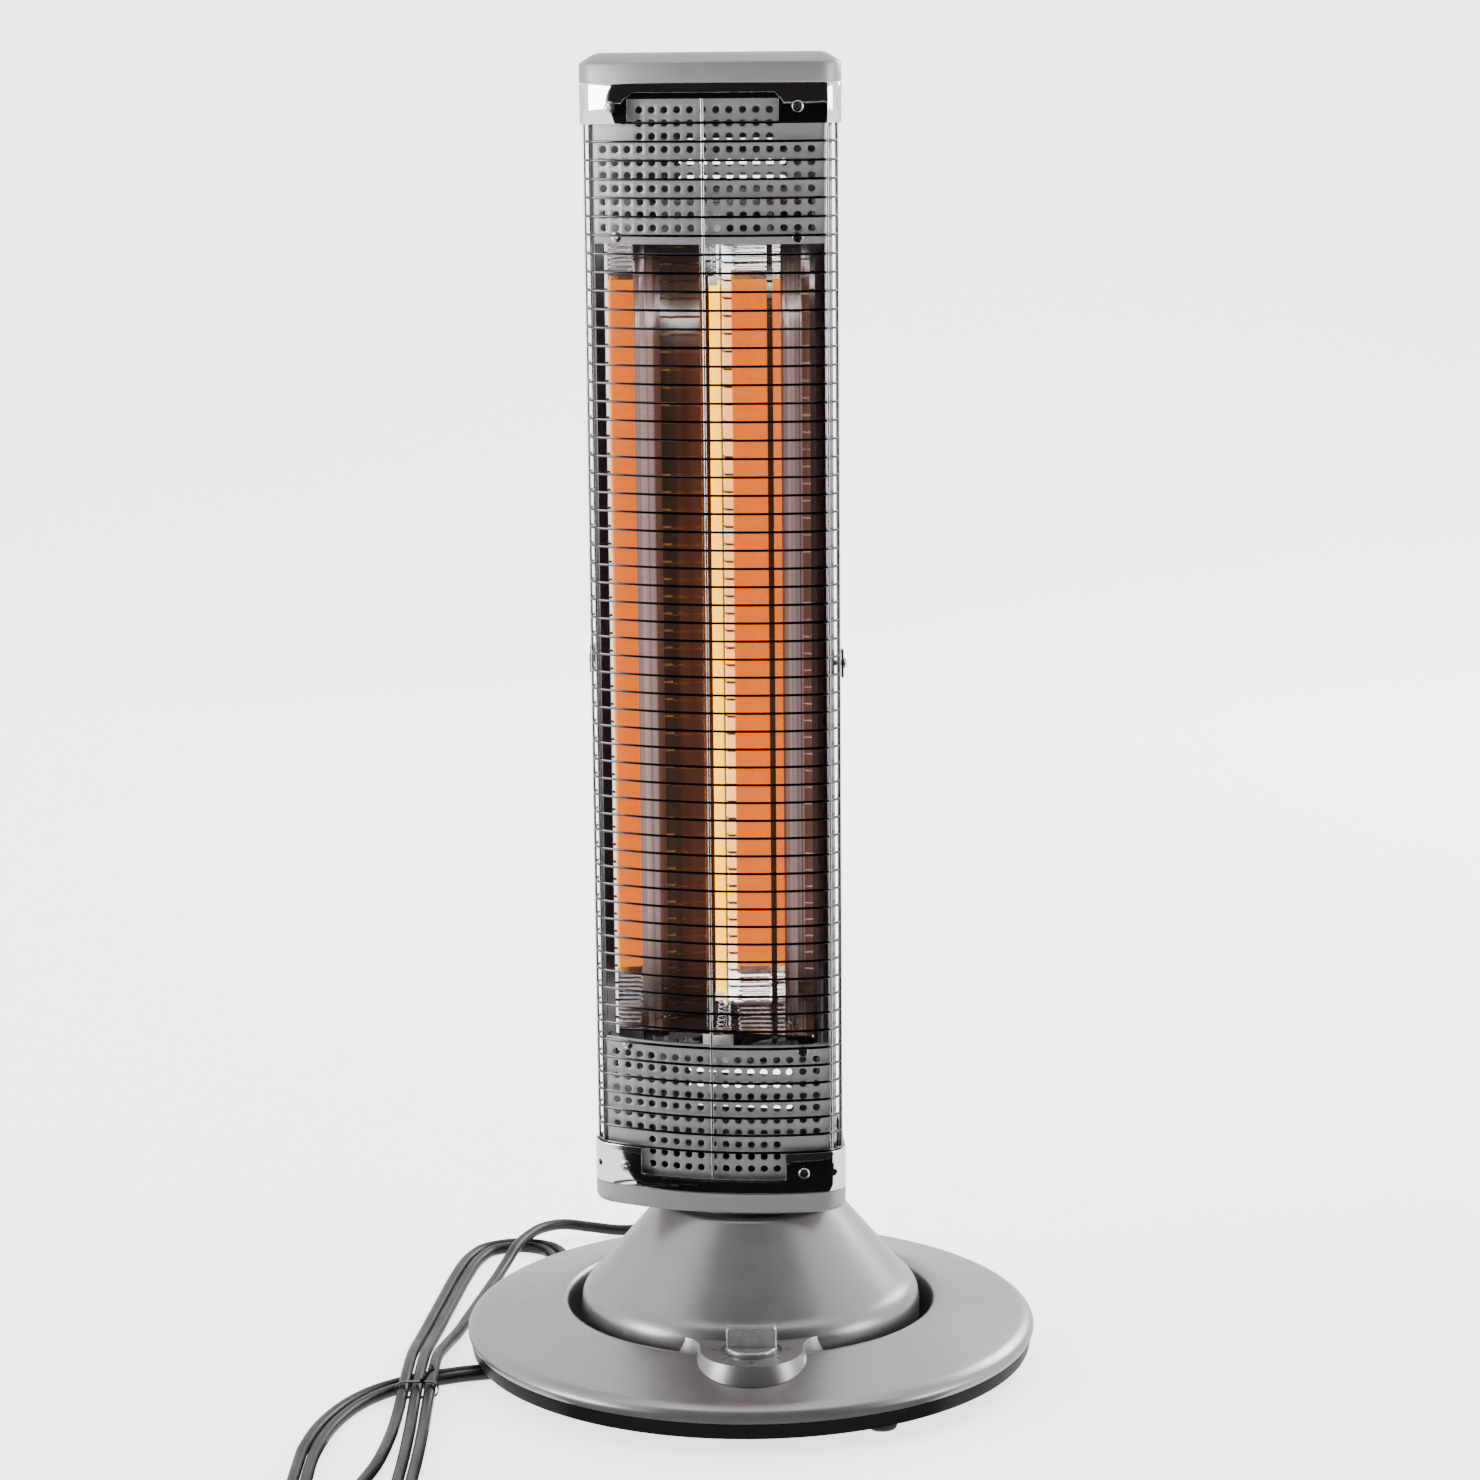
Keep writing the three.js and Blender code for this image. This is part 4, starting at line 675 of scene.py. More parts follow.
class HEATER_OT_caps(bpy.types.Operator):
    """Mould the bottom cap and the domed top cap of the column"""

    bl_idname = "heater.caps"
    bl_label = "Caps"

    def execute(self, context):
        levels = [
            (4.0, CAP_Z), (2.4, CAP_Z + 0.3), (1.1, CAP_Z + 1.1), (0.3, CAP_Z + 2.4), (0.0, CAP_Z + 4.0),
            (0.0, CAP_TOP - 0.4), (0.4, CAP_TOP), (7.5, CAP_TOP), (7.5, CAP_Z + 3)]
        bottom = drawn_out("bottom_cap_shell", [column_ring(i, z) for i, z in levels], capped=True)
        finished(smooth(bottom), "sheet", "column", "bottom_cap")
        wall = TOP_CAP_Z + 10.4
        levels = [
            (7.5, wall + 1.6), (7.5, TOP_CAP_Z), (0.5, TOP_CAP_Z), (0.0, TOP_CAP_Z + 0.5), (0.0, wall - 0.8),
            (0.35, wall + 0.1), (1.3, wall + 0.9), (5.6, wall + 3.6), (7.2, wall + 4.5), (10.6, wall + 5.5)]
        top = drawn_out("top_cap_shell", [column_ring(i, z) for i, z in levels], capped=True)
        finished(smooth(top, 38), "sheet", "column", "top_cap")
        return {"FINISHED"}


def frame_band(name, low, high, tab_low, tab_high):
    """A band round the column with a tab at each front corner."""
    heights = sorted({low, high, tab_low, tab_high})
    band = drawn_out(name, [column_ring(0.0, z, bow_steps=18) for z in heights])
    lone(band)
    bpy.ops.object.mode_set(mode="EDIT")
    mesh = bmesh.from_edit_mesh(band.data)
    gone = []
    for face in mesh.faces:
        centre = column_turn(-1) @ face.calc_center_median() / MM
        if tab_low < centre.z < tab_high and abs(centre.x - COLUMN_OFFSET) < 40 and centre.y < 0:
            gone.append(face)
    bmesh.ops.delete(mesh, geom=gone, context="FACES")
    bmesh.update_edit_mesh(band.data)
    bpy.ops.object.mode_set(mode="OBJECT")
    walled(band, SHEET)
    soft_edges(band, 0.3, 2, 50)
    return smooth(band, 40)


def corner_hole(band, side, z):
    """Punches the round hole at a front corner of a frame."""
    angle = math.radians(43)
    out = (side * math.cos(angle), math.sin(angle))
    u, v = side * FRONT_U + CORNER * out[0], FRONT_V + CORNER * out[1]
    start, middle = on_column(u + 6 * out[0], v + 6 * out[1], z), on_column(u, v, z)
    punch = round_along("corner_punch", start / MM, middle - start, [(0.0, 1.9), (12.0, 1.9)], 24)
    cut_away(band, punch)


class HEATER_OT_frames(bpy.types.Operator):
    """Press the two chromed frames that hold the guard"""

    bl_idname = "heater.frames"
    bl_label = "Chrome frames"

    def execute(self, context):
        low = frame_band("lower_chrome_frame", LOWER_FRAME_Z, LOWER_FRAME_Z + STRIP,
                         LOWER_FRAME_Z + STRIP, LOWER_FRAME_Z + LOWER_TAB)
        for side in (-1, 1):
            corner_hole(low, side, LOWER_FRAME_Z + 10.5)
        finished(low, "chrome", "column", "lower_frame")
        high = frame_band("upper_chrome_frame", UPPER_FRAME_TOP - STRIP, UPPER_FRAME_TOP,
                          UPPER_FRAME_TOP - UPPER_TAB, UPPER_FRAME_TOP - STRIP)
        finished(high, "chrome", "column", "upper_frame")
        return {"FINISHED"}


def wire_path(inset, rear_v, bow_steps=16, corner_steps=9):
    half = half_outline(inset, bow_steps, corner_steps, 1)[:bow_steps + corner_steps + 1]
    u, v = half[-1]
    half.append((u - (v - rear_v) * math.tan(math.radians(SIDE_ANGLE)), rear_v))
    return both_sides(half)


def tube_on(name, points, radius, resolution=2):
    """A round bar along a drawn line, as a mesh."""
    bpy.ops.object.select_all(action="DESELECT")
    bpy.ops.curve.primitive_nurbs_path_add()
    bar = bpy.context.object
    bar.name = bar.data.name = name
    bar.data.splines.clear()
    line = bar.data.splines.new("POLY")
    line.points.add(len(points) - 1)
    for point, place in zip(line.points, points):
        point.co = (*place, 1)
    bar.data.bevel_depth = radius
    bar.data.bevel_resolution = resolution
    bar.data.use_fill_caps = True
    bar.data.dimensions = "3D"
    bar.data.twist_mode = "Z_UP"
    return bar


def as_mesh(bar):
    lone(bar)
    bpy.ops.object.convert(target="MESH")
    bar = bpy.context.object
    tidy_faces(bar)
    return bar


class HEATER_OT_guard(bpy.types.Operator):
    """Bend one guard wire, repeat it up the column and weld the uprights to it"""

    bl_idname = "heater.guard"
    bl_label = "Wire guard"

    def execute(self, context):
        radius = context.scene.heater_settings.wire_diameter / 2
        path = wire_path(WIRE_INSET, WIRE_END_V)
        wires = as_mesh(tube_on("guard_wires", levels_of(path, [FIRST_WIRE])[0], radius, 1))
        modified(wires, "ARRAY", count=WIRE_COUNT, use_relative_offset=False, use_constant_offset=True,
                 constant_offset_displace=(0, 0, WIRE_PITCH * MM))
        finished(smooth(wires, 60), "wire", "column", "wire_guard")
        uprights = [(0.0, FACE - WIRE_INSET - 1.2), path[0], path[-1]]
        uprights += [(side * u, v) for side in (-1, 1) for u, v in ((68.2, 25.1), (64.0, 32.0))]
        ends = (LOWER_FRAME_Z + UPRIGHT_GAP, UPPER_FRAME_TOP - UPRIGHT_GAP)
        for i, (u, v) in enumerate(uprights):
            thick = radius * (1.1 if i else 1.2)
            upright = as_mesh(tube_on(f"guard_upright_{i + 1}", [on_column(u, v, z) for z in ends], thick, 2))
            finished(smooth(upright, 60), "upright", "column")
        return {"FINISHED"}


COLUMNS, NARROW_COLUMNS = 17, 11
HOLE_RADIUS, FIRST_WALL = 2.0, 1.2


def perforated(name, low, high, wide_rows, narrow_rows):
    """A bowed sheet with rows of round holes, drawn flat and then bowed."""
    places = [(i - (COLUMNS - 1) / 2) * HOLE_PITCH for i in range(COLUMNS)]
    lines = [-PANEL_HALF] + [(i - COLUMNS / 2) * HOLE_PITCH for i in range(COLUMNS + 1)] + [PANEL_HALF]
    rows = sorted(wide_rows + narrow_rows)
    levels = {low, rows[-1] + HOLE_RISE / 2, high} | {z - HOLE_RISE / 2 for z in rows}
    levels = sorted({round(z, 3) for z in levels})
    narrow = [u for u in places if abs(u) < NARROW_COLUMNS / 2 * HOLE_PITCH]
    wanted = {(round(u, 2), round(z, 2)) for rows, us in ((wide_rows, places), (narrow_rows, narrow))
              for z in rows for u in us}
    bpy.ops.object.select_all(action="DESELECT")
    bpy.ops.mesh.primitive_grid_add(x_subdivisions=len(lines) - 1, y_subdivisions=len(levels) - 1, size=1)
    sheet = bpy.context.object
    sheet.name = sheet.data.name = name
    bpy.ops.object.mode_set(mode="EDIT")
    bpy.ops.mesh.select_mode(type="FACE")
    mesh = bmesh.from_edit_mesh(sheet.data)
    xs = sorted({round(v.co.x, 4) for v in mesh.verts})
    ys = sorted({round(v.co.y, 4) for v in mesh.verts})
    for vertex in mesh.verts:
        i, j = xs.index(round(vertex.co.x, 4)), ys.index(round(vertex.co.y, 4))
        vertex.co = (lines[i], 0, levels[j])
    for face in mesh.faces:
        centre = face.calc_center_median()
        face.select_set((round(centre.x, 2), round(centre.z, 2)) in wanted)
    bmesh.update_edit_mesh(sheet.data)
    bpy.ops.mesh.inset(thickness=FIRST_WALL, depth=0, use_individual=True)
    round_the_holes(sheet)
    mesh = bmesh.from_edit_mesh(sheet.data)
    for vertex in mesh.verts:
        u, z = vertex.co.x, vertex.co.z
        vertex.co = on_column(u, front_at(u, PANEL_INSET), z)
    bmesh.update_edit_mesh(sheet.data)
    bpy.ops.object.mode_set(mode="OBJECT")
    roll_sides(sheet)
    tidy_faces(sheet)
    face_front(sheet)
    walled(sheet, SHEET)
    soft_edges(sheet, 0.38, 2, 50)
    return smooth(sheet, 40)


def round_the_holes(sheet):
    """Makes each picked square of the flat sheet a round hole."""
    mesh = bmesh.from_edit_mesh(sheet.data)
    rims = {edge for face in mesh.faces if face.select for edge in face.edges}
    bmesh.ops.subdivide_edges(mesh, edges=list(rims), cuts=3)
    holes = [face for face in mesh.faces if face.select and len(face.edges) == 16]
    for face in holes:
        centre = face.calc_center_median()
        for vertex in face.verts:
            vertex.co = centre + (vertex.co - centre).normalized() * HOLE_RADIUS
    bmesh.ops.delete(mesh, geom=holes, context="FACES")
    bmesh.update_edit_mesh(sheet.data)


def roll_sides(sheet):
    """Rolls the sheet's two upright edges back into the column."""
    lone(sheet)
    bpy.ops.object.mode_set(mode="EDIT")
    bpy.ops.mesh.select_mode(type="EDGE")
    for drop in (1.2, 7.8):
        mesh = bmesh.from_edit_mesh(sheet.data)
        for edge in mesh.edges:
            ends = [column_turn(-1) @ v.co / MM for v in edge.verts]
            at_side = all(abs(abs(p.x - COLUMN_OFFSET) - PANEL_HALF) < 0.05 for p in ends)
            edge.select_set(at_side and edge.is_boundary and abs(ends[0].y - ends[1].y) < 0.01)
        bmesh.update_edit_mesh(sheet.data)
        run = column_turn() @ Vector((0, drop * MM, 0))
        bpy.ops.mesh.extrude_edges_move(TRANSFORM_OT_translate={"value": tuple(run)})
    bpy.ops.object.mode_set(mode="OBJECT")


def face_front(sheet):
    """Turns an open sheet's faces to the front."""
    front = column_turn() @ Vector((0, -1, 0))
    total = sum(polygon.normal.dot(front) * polygon.area for polygon in sheet.data.polygons)
    if total < 0:
        lone(sheet)
        bpy.ops.object.mode_set(mode="EDIT")
        bpy.ops.mesh.select_all(action="SELECT")
        bpy.ops.mesh.flip_normals()
        bpy.ops.object.mode_set(mode="OBJECT")


class HEATER_OT_panels(bpy.types.Operator):
    """Punch and bow the two perforated panels behind the guard"""

    bl_idname = "heater.panels"
    bl_label = "Perforated panels"

    def execute(self, context):
        rise = [HOLE_RISE * i for i in range(10)]
        up = [UPPER_PANEL_LOW + 8.6 + z for z in rise]
        upper = perforated("upper_perforated_panel", UPPER_PANEL_LOW, UPPER_FRAME_TOP, up[:7], up[7:])
        finished(upper, "sheet", "column", "upper_panel")
        down = [LOWER_PANEL_TOP - 8.4 - z for z in rise]
        lower = perforated("lower_perforated_panel", LOWER_FRAME_Z, LOWER_PANEL_TOP, down[:7], down[7:])
        finished(lower, "sheet", "column", "lower_panel")
        return {"FINISHED"}


# Lamp and mirror

# The strand's flat section, before it is turned.
TAPE_SECTION = [
    (2.95, 0.25), (2.8, 0.4), (-2.8, 0.4), (-2.95, 0.25),
    (-2.95, -0.25), (-2.8, -0.4), (2.8, -0.4), (2.95, -0.25),
]
SPRING_TURNS, SPRING_STEPS, SPRING_RADIUS, SPRING_WIRE = 10, 24, 1.5, 0.35


def mirror_trough():
    half = MIRROR_FOLDS + [(MIRROR_EDGE_U, front_at(MIRROR_EDGE_U, PANEL_INSET + SHEET) - 0.9)]
    face = [(-u, v) for u, v in reversed(half)] + half
    sheet = face + [(u, v - MIRROR_SHEET) for u, v in reversed(face)]
    return drawn_out("mirror_trough", levels_of(sheet, (MIRROR_LOW, MIRROR_HIGH)), capped=True)


def quartz_tube():
    inner, outer = TUBE_RADIUS - 1.0, TUBE_RADIUS
    profile = [
        (inner, TUBE_LOW, 0.0), (outer, TUBE_LOW, 0.3), (outer, TUBE_HIGH, 0.3), (inner, TUBE_HIGH, 0.0)]
    return turned("quartz_lamp_tube", rounded_profile(profile), 40, True, 0.0, LAMP_V, on_column)


def turned_tape(name, wider, thicker, low, high):
    """The strand's section, or its clip's, turned a little to one side."""
    turn = math.radians(TAPE_TURN)
    c, sn = math.cos(turn), math.sin(turn)
    section = [(STRAND_U + (du * c + dv * sn) * wider, LAMP_V + (dv * c - du * sn) * thicker)
               for du, dv in TAPE_SECTION]
    return drawn_out(name, levels_of(section, (low, high)), capped=True)


def lamp_spring(name, tube_end, low, high):
    """The coil that keeps the strand straight, and leans from the tube's middle to the strand."""
    steps = SPRING_TURNS * SPRING_STEPS
    round_once = circle(SPRING_RADIUS, SPRING_STEPS, 0.0, LAMP_V)
    coil = []
    for i in range(steps + 1):
        u, v = round_once[i % SPRING_STEPS]
        z = low + (high - low) * i / steps
        lean = STRAND_U * abs(z - tube_end) / (STRAND_LOW - TUBE_LOW)
        coil.append(on_column(lean + u, v, z))
    return as_mesh(tube_on(name, coil, SPRING_WIRE * MM, 1))


def ceramic_cap(name, foot, mouth):
    """A solid foot, and a cup round the tube's end."""
    middle = (foot + mouth) / 2
    profile = [
        (0.0, foot, 0.0), (8.5, foot, 0.8), (8.5, mouth, 0.8),
        (6.2, mouth, 0.3), (6.2, middle, 0.2), (0.0, middle, 0.0)]
    return turned(name, rounded_profile(profile), 40, False, 0.0, LAMP_V, on_column)


class HEATER_OT_lamp(bpy.types.Operator):
    """Fold the mirror trough and fit the quartz lamp with its glowing strand"""

    bl_idname = "heater.lamp"
    bl_label = "Lamp and mirror"

    def execute(self, context):
        finished(smooth(mirror_trough(), 3.2), "mirror", "column", "reflector")
        finished(smooth(quartz_tube()), "quartz", "column", "quartz_tube")
        strand = turned_tape("carbon_tape", 1.0, 1.0, STRAND_LOW, STRAND_HIGH)
        finished(smooth(strand, 50), "glow", "column", "carbon_strand")
        lamp_ends = (("lower", TUBE_LOW, STRAND_LOW, 1), ("upper", TUBE_HIGH, STRAND_HIGH, -1))
        for word, tube_end, strand_end, way in lamp_ends:
            ends = sorted((tube_end + 2.4 * way, strand_end - 1.0 * way))
            finished(smooth(lamp_spring(f"lamp_spring_{word}", tube_end, *ends), 60), "zinc", "column")
            clip = turned_tape(f"tape_clip_{word}", 1.1, 1.5, strand_end - 2.4, strand_end + 2.4)
            finished(smooth(clip, 40), "zinc", "column")
            cap = ceramic_cap(f"ceramic_cap_{word}", tube_end - 12.0 * way, tube_end + 8.0 * way)
            finished(smooth(cap), "ceramic", "column", f"lamp_cap_{word}")
        return {"FINISHED"}


# Cord

LEAD = [
    (-36.7, 198.8, 11.5), (-42.5, 205.7, 10), (-50.3, 210.2, 8), (-59.2, 212, 6), (-80, 213.8, 4),
    (-99, 214.5, 6), (-116, 210, 9.4), (-128.5, 198.5, 10.8), (-137, 182, 10.8), (-143, 164, 9.6),
    (-148, 146, 5.6), (-152.5, 124, 3.4), (-158.5, 88, 3.3), (-163.5, 58, 3.3), (-168.5, 26, 3.8),
    (-173, -4, 6.8), (-175.6, -30, 9.8),
]
TURNS = [
    (-183, -58, 10.7), (-183, -78, 8.6), (-183, -100, 5), (-182.5, -125, 3.3), (-182, -155, 3.3),
    (-182, -190, 3.3), (-183, -222, 4), (-187.5, -237, 7.4), (-196, -246, 10.4), (-207, -249.5, 11),
    (-218, -246, 10.4), (-226.5, -237, 7.4), (-231, -222, 4), (-233, -190, 3.3), (-232.5, -155, 3.3),
    (-227, -117, 3.3), (-216, -86, 3.3), (-202, -66, 3.3), (-184, -52, 3.3), (-163, -42, 3.3),
    (-141, -35, 3.3), (-122, -20, 3.3), (-111, 5, 3.3), (-108, 40, 3.3), (-109.5, 80, 3.3),
    (-113, 125, 3.3), (-118.2, 162, 3.3), (-125.4, 178.4, 3.3), (-142, 185.5, 3.3), (-158.6, 178.4, 3.3),
    (-165.8, 162, 3.3), (-171, 131, 3.3), (-175.5, 87, 3.3), (-180, 40, 3.3), (-182.5, 5, 5.4),
    (-183, -26, 9.8),
]
TAIL = [
    (-190.5, -78, 8.6), (-191.2, -100, 5), (-192.5, -135, 3.3), (-196, -175, 3.3), (-203, -212, 3.3),
    (-207, -245, 3.3), (-207, -262, 3.5), (-207, -285, 7.5), (-207, -292, 7.5),
]
CORD_DIAMETER, TURN_SPACING = 6.6, 7.2
TIE_AT = (-183.0, -78.0, 8.6)
EXIT_ANGLE, EXIT_Z = math.radians(100), 12.3
GLAND_START, CORD_STARTS = 153.0, (186.3, 193.3)


def way_out(reach, z=EXIT_Z):
    """A place on the cord's straight way out of the base."""
    return Vector((reach * math.cos(EXIT_ANGLE), reach * math.sin(EXIT_ANGLE), z))


def cord_points():
    points = [way_out(reach) for reach in CORD_STARTS] + [Vector(p) for p in LEAD]
    count = len(TURNS)
    for i in range(2 * count + 1):
        x, y, z = TURNS[i % count]
        before, after = TURNS[(i - 1) % count], TURNS[(i + 1) % count]
        along = Vector((after[0] - before[0], after[1] - before[1])).normalized()
        side = (1 - i / count) * TURN_SPACING
        points.append(Vector((x - along.y * side, y + along.x * side, z)))
    return points + [Vector(p) for p in TAIL]


def centripetal(points, spacing=2.0):
    """Points along the same smooth line that the part's source follows."""
    ends = [points[0] * 2 - points[1]] + points + [points[-1] * 2 - points[-2]]
    line = []
    for p0, p1, p2, p3 in zip(ends, ends[1:], ends[2:], ends[3:]):
        d = [max((b - a).length_squared ** 0.25, 1e-4) for a, b in ((p0, p1), (p1, p2), (p2, p3))]
        m1 = ((p1 - p0) / d[0] - (p2 - p0) / (d[0] + d[1]) + (p2 - p1) / d[1]) * d[1]
        m2 = ((p2 - p1) / d[1] - (p3 - p1) / (d[1] + d[2]) + (p3 - p2) / d[2]) * d[1]
        steps = max(int((p2 - p1).length / spacing), 2)
        for k in range(steps):
            t = k / steps
            line.append(p1 * (2 * t ** 3 - 3 * t ** 2 + 1) + m1 * (t ** 3 - 2 * t ** 2 + t)
                        + p2 * (3 * t ** 2 - 2 * t ** 3) + m2 * (t ** 3 - t ** 2))
    line.append(points[-1])
    reach = CORD_DIAMETER / 2 + 0.05
    left, back = CAD_BOX[0][0] / MM + reach, CAD_BOX[1][1] / MM - reach
    return [Vector((max(p.x, left), min(p.y, back), max(p.z, reach))) for p in line]


class HEATER_OT_cord(bpy.types.Operator):
    """Lay the mains cord in its tied hank, with its plug"""

    bl_idname = "heater.cord"
    bl_label = "Mains cord"

    def execute(self, context):
        line = [p * MM for p in centripetal(cord_points())]
        cord = tube_on("mains_cord", line, CORD_DIAMETER / 2 * MM, 3)
        finished(cord, "cord", "base", "cord_lead", "cord_hank")
        plug = mains_plug()
        tie = cord_tie()
        profile = [(0.0, 3.9), (0.6, 4.15), (6.2, 4.15), (6.8, 3.95)]
        for k in range(6):
            run, slimmer = 9.0 + 3.4 * k, 0.06 * k
            profile += [(run, 3.85 - slimmer), (run + 0.5, 3.45)]
            profile += [(run + 2.2, 3.45), (run + 2.7, 3.8 - slimmer)]
        profile += [(32.0, 3.5), (32.9, 3.42)]
        gland = round_along("strain_relief", way_out(GLAND_START), way_out(1.0, 0.0), profile, 28)
        finished(smooth(gland, 40), "cord", "base", "cord_gland")
        return {"FINISHED"}


PLUG_START = Vector((-207.0, -292.3, 7.5))
SLEEVE_RIBS = (4.5, 4.55, 4.6, 4.7, 4.8)
SLEEVE_GROOVES = (3.9, 3.9, 4.0, 4.1)
# The plug's body beyond its sleeve: run, half width, half thickness and squareness.
PLUG_BODY = [
    (26.0, 5.2, 5.2, 2.0), (30.0, 6.3, 5.9, 2.1), (34.0, 8.8, 6.6, 2.3), (38.0, 12.2, 7.1, 2.6),
    (42.0, 15.2, 7.35, 2.9), (46.0, 16.9, 7.45, 3.2), (50.0, 17.3, 7.45, 3.4), (60.6, 17.3, 7.45, 3.4),
    (61.6, 17.0, 7.1, 3.4), (62.0, 16.4, 6.5, 3.4),
]
PIN_SPREAD, PIN_START = 9.3, 61.2


def plug_stations():
    """The ribbed sleeve and then the body, from the cord to the face."""
    runs = [(0.0, 3.6), (0.5, 4.3)]
    for k, groove in enumerate(SLEEVE_GROOVES):
        run = 2.2 + 4.8 * k
        runs += [(run, SLEEVE_RIBS[k]), (run + 0.5, groove)]
        runs += [(run + 2.1, groove), (run + 2.6, SLEEVE_RIBS[k + 1])]
    return [(run, radius, radius, 2.0) for run, radius in runs] + PLUG_BODY


def squarish(half, thick, power, count=48):
    """An oval whose sides grow flatter with its power."""
    points = []
    for c, sn in circle(1.0, count):
        points.append((half * math.copysign(abs(c) ** (2 / power), c),
                       thick * math.copysign(abs(sn) ** (2 / power), sn)))
    return points


def mains_plug():
    """A moulded two pin plug, drawn out from its ribbed sleeve to its face."""
    rings = [[(PLUG_START + Vector((x, -run, z))) * MM for x, z in squarish(half, thick, power)]
             for run, half, thick, power in plug_stations()]
    plug = drawn_out("moulded_plug", rings, capped=True)
    finished(smooth(plug, 38), "cord", "base", "mains_plug")
    for side, word in ((-1, "left"), (1, "right")):
        start = PLUG_START + Vector((side * PIN_SPREAD, -PIN_START, 0))
        sleeve = round_along(f"pin_sleeve_{word}", start, (0, -1, 0), [(0, 1.9), (9.6, 1.9), (10.0, 1.7)], 24)
        finished(smooth(sleeve), "cord", "base")
        pin = round_along(f"plug_pin_{word}", start, (0, -1, 0), [
            (9.0, 1.95), (17.8, 1.95), (18.9, 1.6), (19.5, 0.9), (19.7, 0.0)], 24)
        finished(smooth(pin, 50), "zinc", "base")
    return plug


def cord_tie():
    """A flat band round the tied turns, its two ends twisted together."""
    x, y, z = TIE_AT
    rings = []
    for radius, dy in ((4.8, 0.0), (4.8, -3.0), (4.2, -3.0), (4.2, 0.0)):
        ring = arc(x + TURN_SPACING, z, radius, -90, 90, 12) + arc(x - TURN_SPACING, z, radius, 90, 270, 12)
        rings.append([Vector((px, y + dy, pz)) * MM for px, pz in ring])
    tie = drawn_out("wire_tie", rings, closed=True)
    finished(smooth(tie, 40), "cord", "base", "cord_tie")
    start, lean = Vector((x + 2.0, y - 1.5, z + 4.6)), Vector((0.55, -0.35, 0.75)).normalized()
    across = lean.cross(Vector((0, 0, 1))).normalized()
    up = lean.cross(across)
    for k in (0, 1):
        line = []
        for i in range(41):
            a = math.pi * k + 4.5 * math.pi * i / 40
            spread = 0.9 + 0.09 * max(i - 30, 0)
            aside = (across * math.cos(a) + up * math.sin(a)) * spread
            line.append((start + lean * 13.0 * i / 40 + aside) * MM)
        tail = as_mesh(tube_on(f"tie_tail_{k + 1}", line, 0.75 * MM, 1))
        finished(smooth(tail, 60), "cord", "base")
    return tie


# Screws, clamps and rear cover

SCREW_PLACES = (
    ("lower_frame", 50.2, 0.0, LOWER_FRAME_Z + 11.25), ("upper_frame", 50.2, 0.0, UPPER_FRAME_TOP - 12.18),
    ("lower_panel", 49.0, PANEL_INSET, LOWER_PANEL_TOP - 3.6),
    ("upper_panel", 49.0, PANEL_INSET, UPPER_PANEL_LOW + 3.6),
)
SCREW_TWISTS = (8, 52, 31, 74, 15, 63, 40, 22)
SCREW_PROFILE = [
    (-6.8, 0.0, 0.0), (-6.8, 1.1, 0.0), (-6.0, 1.55, 0.0), (0.0, 1.55, 0.0),
    (0.0, 3.1, 0.15), (0.75, 3.05, 0.4), (1.3, 2.0, 0.6), (1.48, 0.0, 0.0),
]


def facing_out(seat, out, twist):
    """Where the screw pattern goes, to stand along a direction and be turned about it."""
    spin = Matrix.Rotation(math.radians(twist), 4, "Z")
    return Matrix.Translation(seat) @ out.to_track_quat("Z", "Y").to_matrix().to_4x4() @ spin


def screw_place(side, u, inset, z, twist):
    """Where a screw's head sits on the bowed front, its axis square to the sheet."""
    lean = side * math.asin(u / BOW)
    out = column_turn() @ Vector((math.sin(lean), -math.cos(lean), 0))
    return facing_out(on_column(side * u, front_at(u, inset), z) + out * 0.06 * MM, out, twist)


def side_screw_place(side, solid):
    """Where the side screw's head sits: on the outer end of the part's own screw."""
    middle = sum((solid.matrix_world @ Vector(corner) for corner in solid.bound_box), Vector()) / 8
    lean = math.radians(SIDE_ANGLE)
    out = column_turn() @ Vector((side * math.cos(lean), math.sin(lean), 0))
    reach = max((solid.matrix_world @ vertex.co - middle).dot(out) for vertex in solid.data.vertices)
    return facing_out(middle + out * (reach - 1.5 * MM), out, 35)


def crosshead():
    """One crosshead screw, standing on its head's underside at the origin."""
    screw = round_along("screw_pattern", (0, 0, 0), (0, 0, 1), rounded_profile(SCREW_PROFILE, 3), 32)
    size = Matrix.Translation((0, 0, 1.2 * MM)) @ Matrix.Diagonal((3.7 * MM, 0.75 * MM, 1.3 * MM, 1))
    for turn in (0, 90):
        bpy.ops.object.select_all(action="DESELECT")
        bpy.ops.mesh.primitive_cube_add(size=1)
        slot = bpy.context.object
        slot.data.transform(Matrix.Rotation(math.radians(turn), 4, "Z") @ size)
        cut_away(screw, slot)
    soft_edges(screw, 0.08, 1, 40)
    return smooth(screw, 35)


class HEATER_OT_screws(bpy.types.Operator):
    """Turn one crosshead screw and copy it to every place that has one"""

    bl_idname = "heater.screws"
    bl_label = "Screws"

    def execute(self, context):
        pattern = crosshead()
        twists = iter(SCREW_TWISTS)
        for side, word in ((-1, "left"), (1, "right")):
            for name, u, inset, z in SCREW_PLACES:
                place = screw_place(side, u, inset, z, next(twists))
                screw = copied(pattern, f"{name}_crosshead_{word}", place)
                finished(screw, "zinc", "column", f"{name}_screw_{word}")
            clamp = softened(f"guard_clamp_{word}", f"clamp_strap_{word}", 0.25, 2)
            finished(clamp, "chrome", "column", f"guard_clamp_{word}")
            place = side_screw_place(side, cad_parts[f"side_screw_{word}"])
            finished(copied(pattern, f"side_crosshead_{word}", place), "zinc", "column", f"side_screw_{word}")
        bpy.data.objects.remove(pattern)
        return {"FINISHED"}


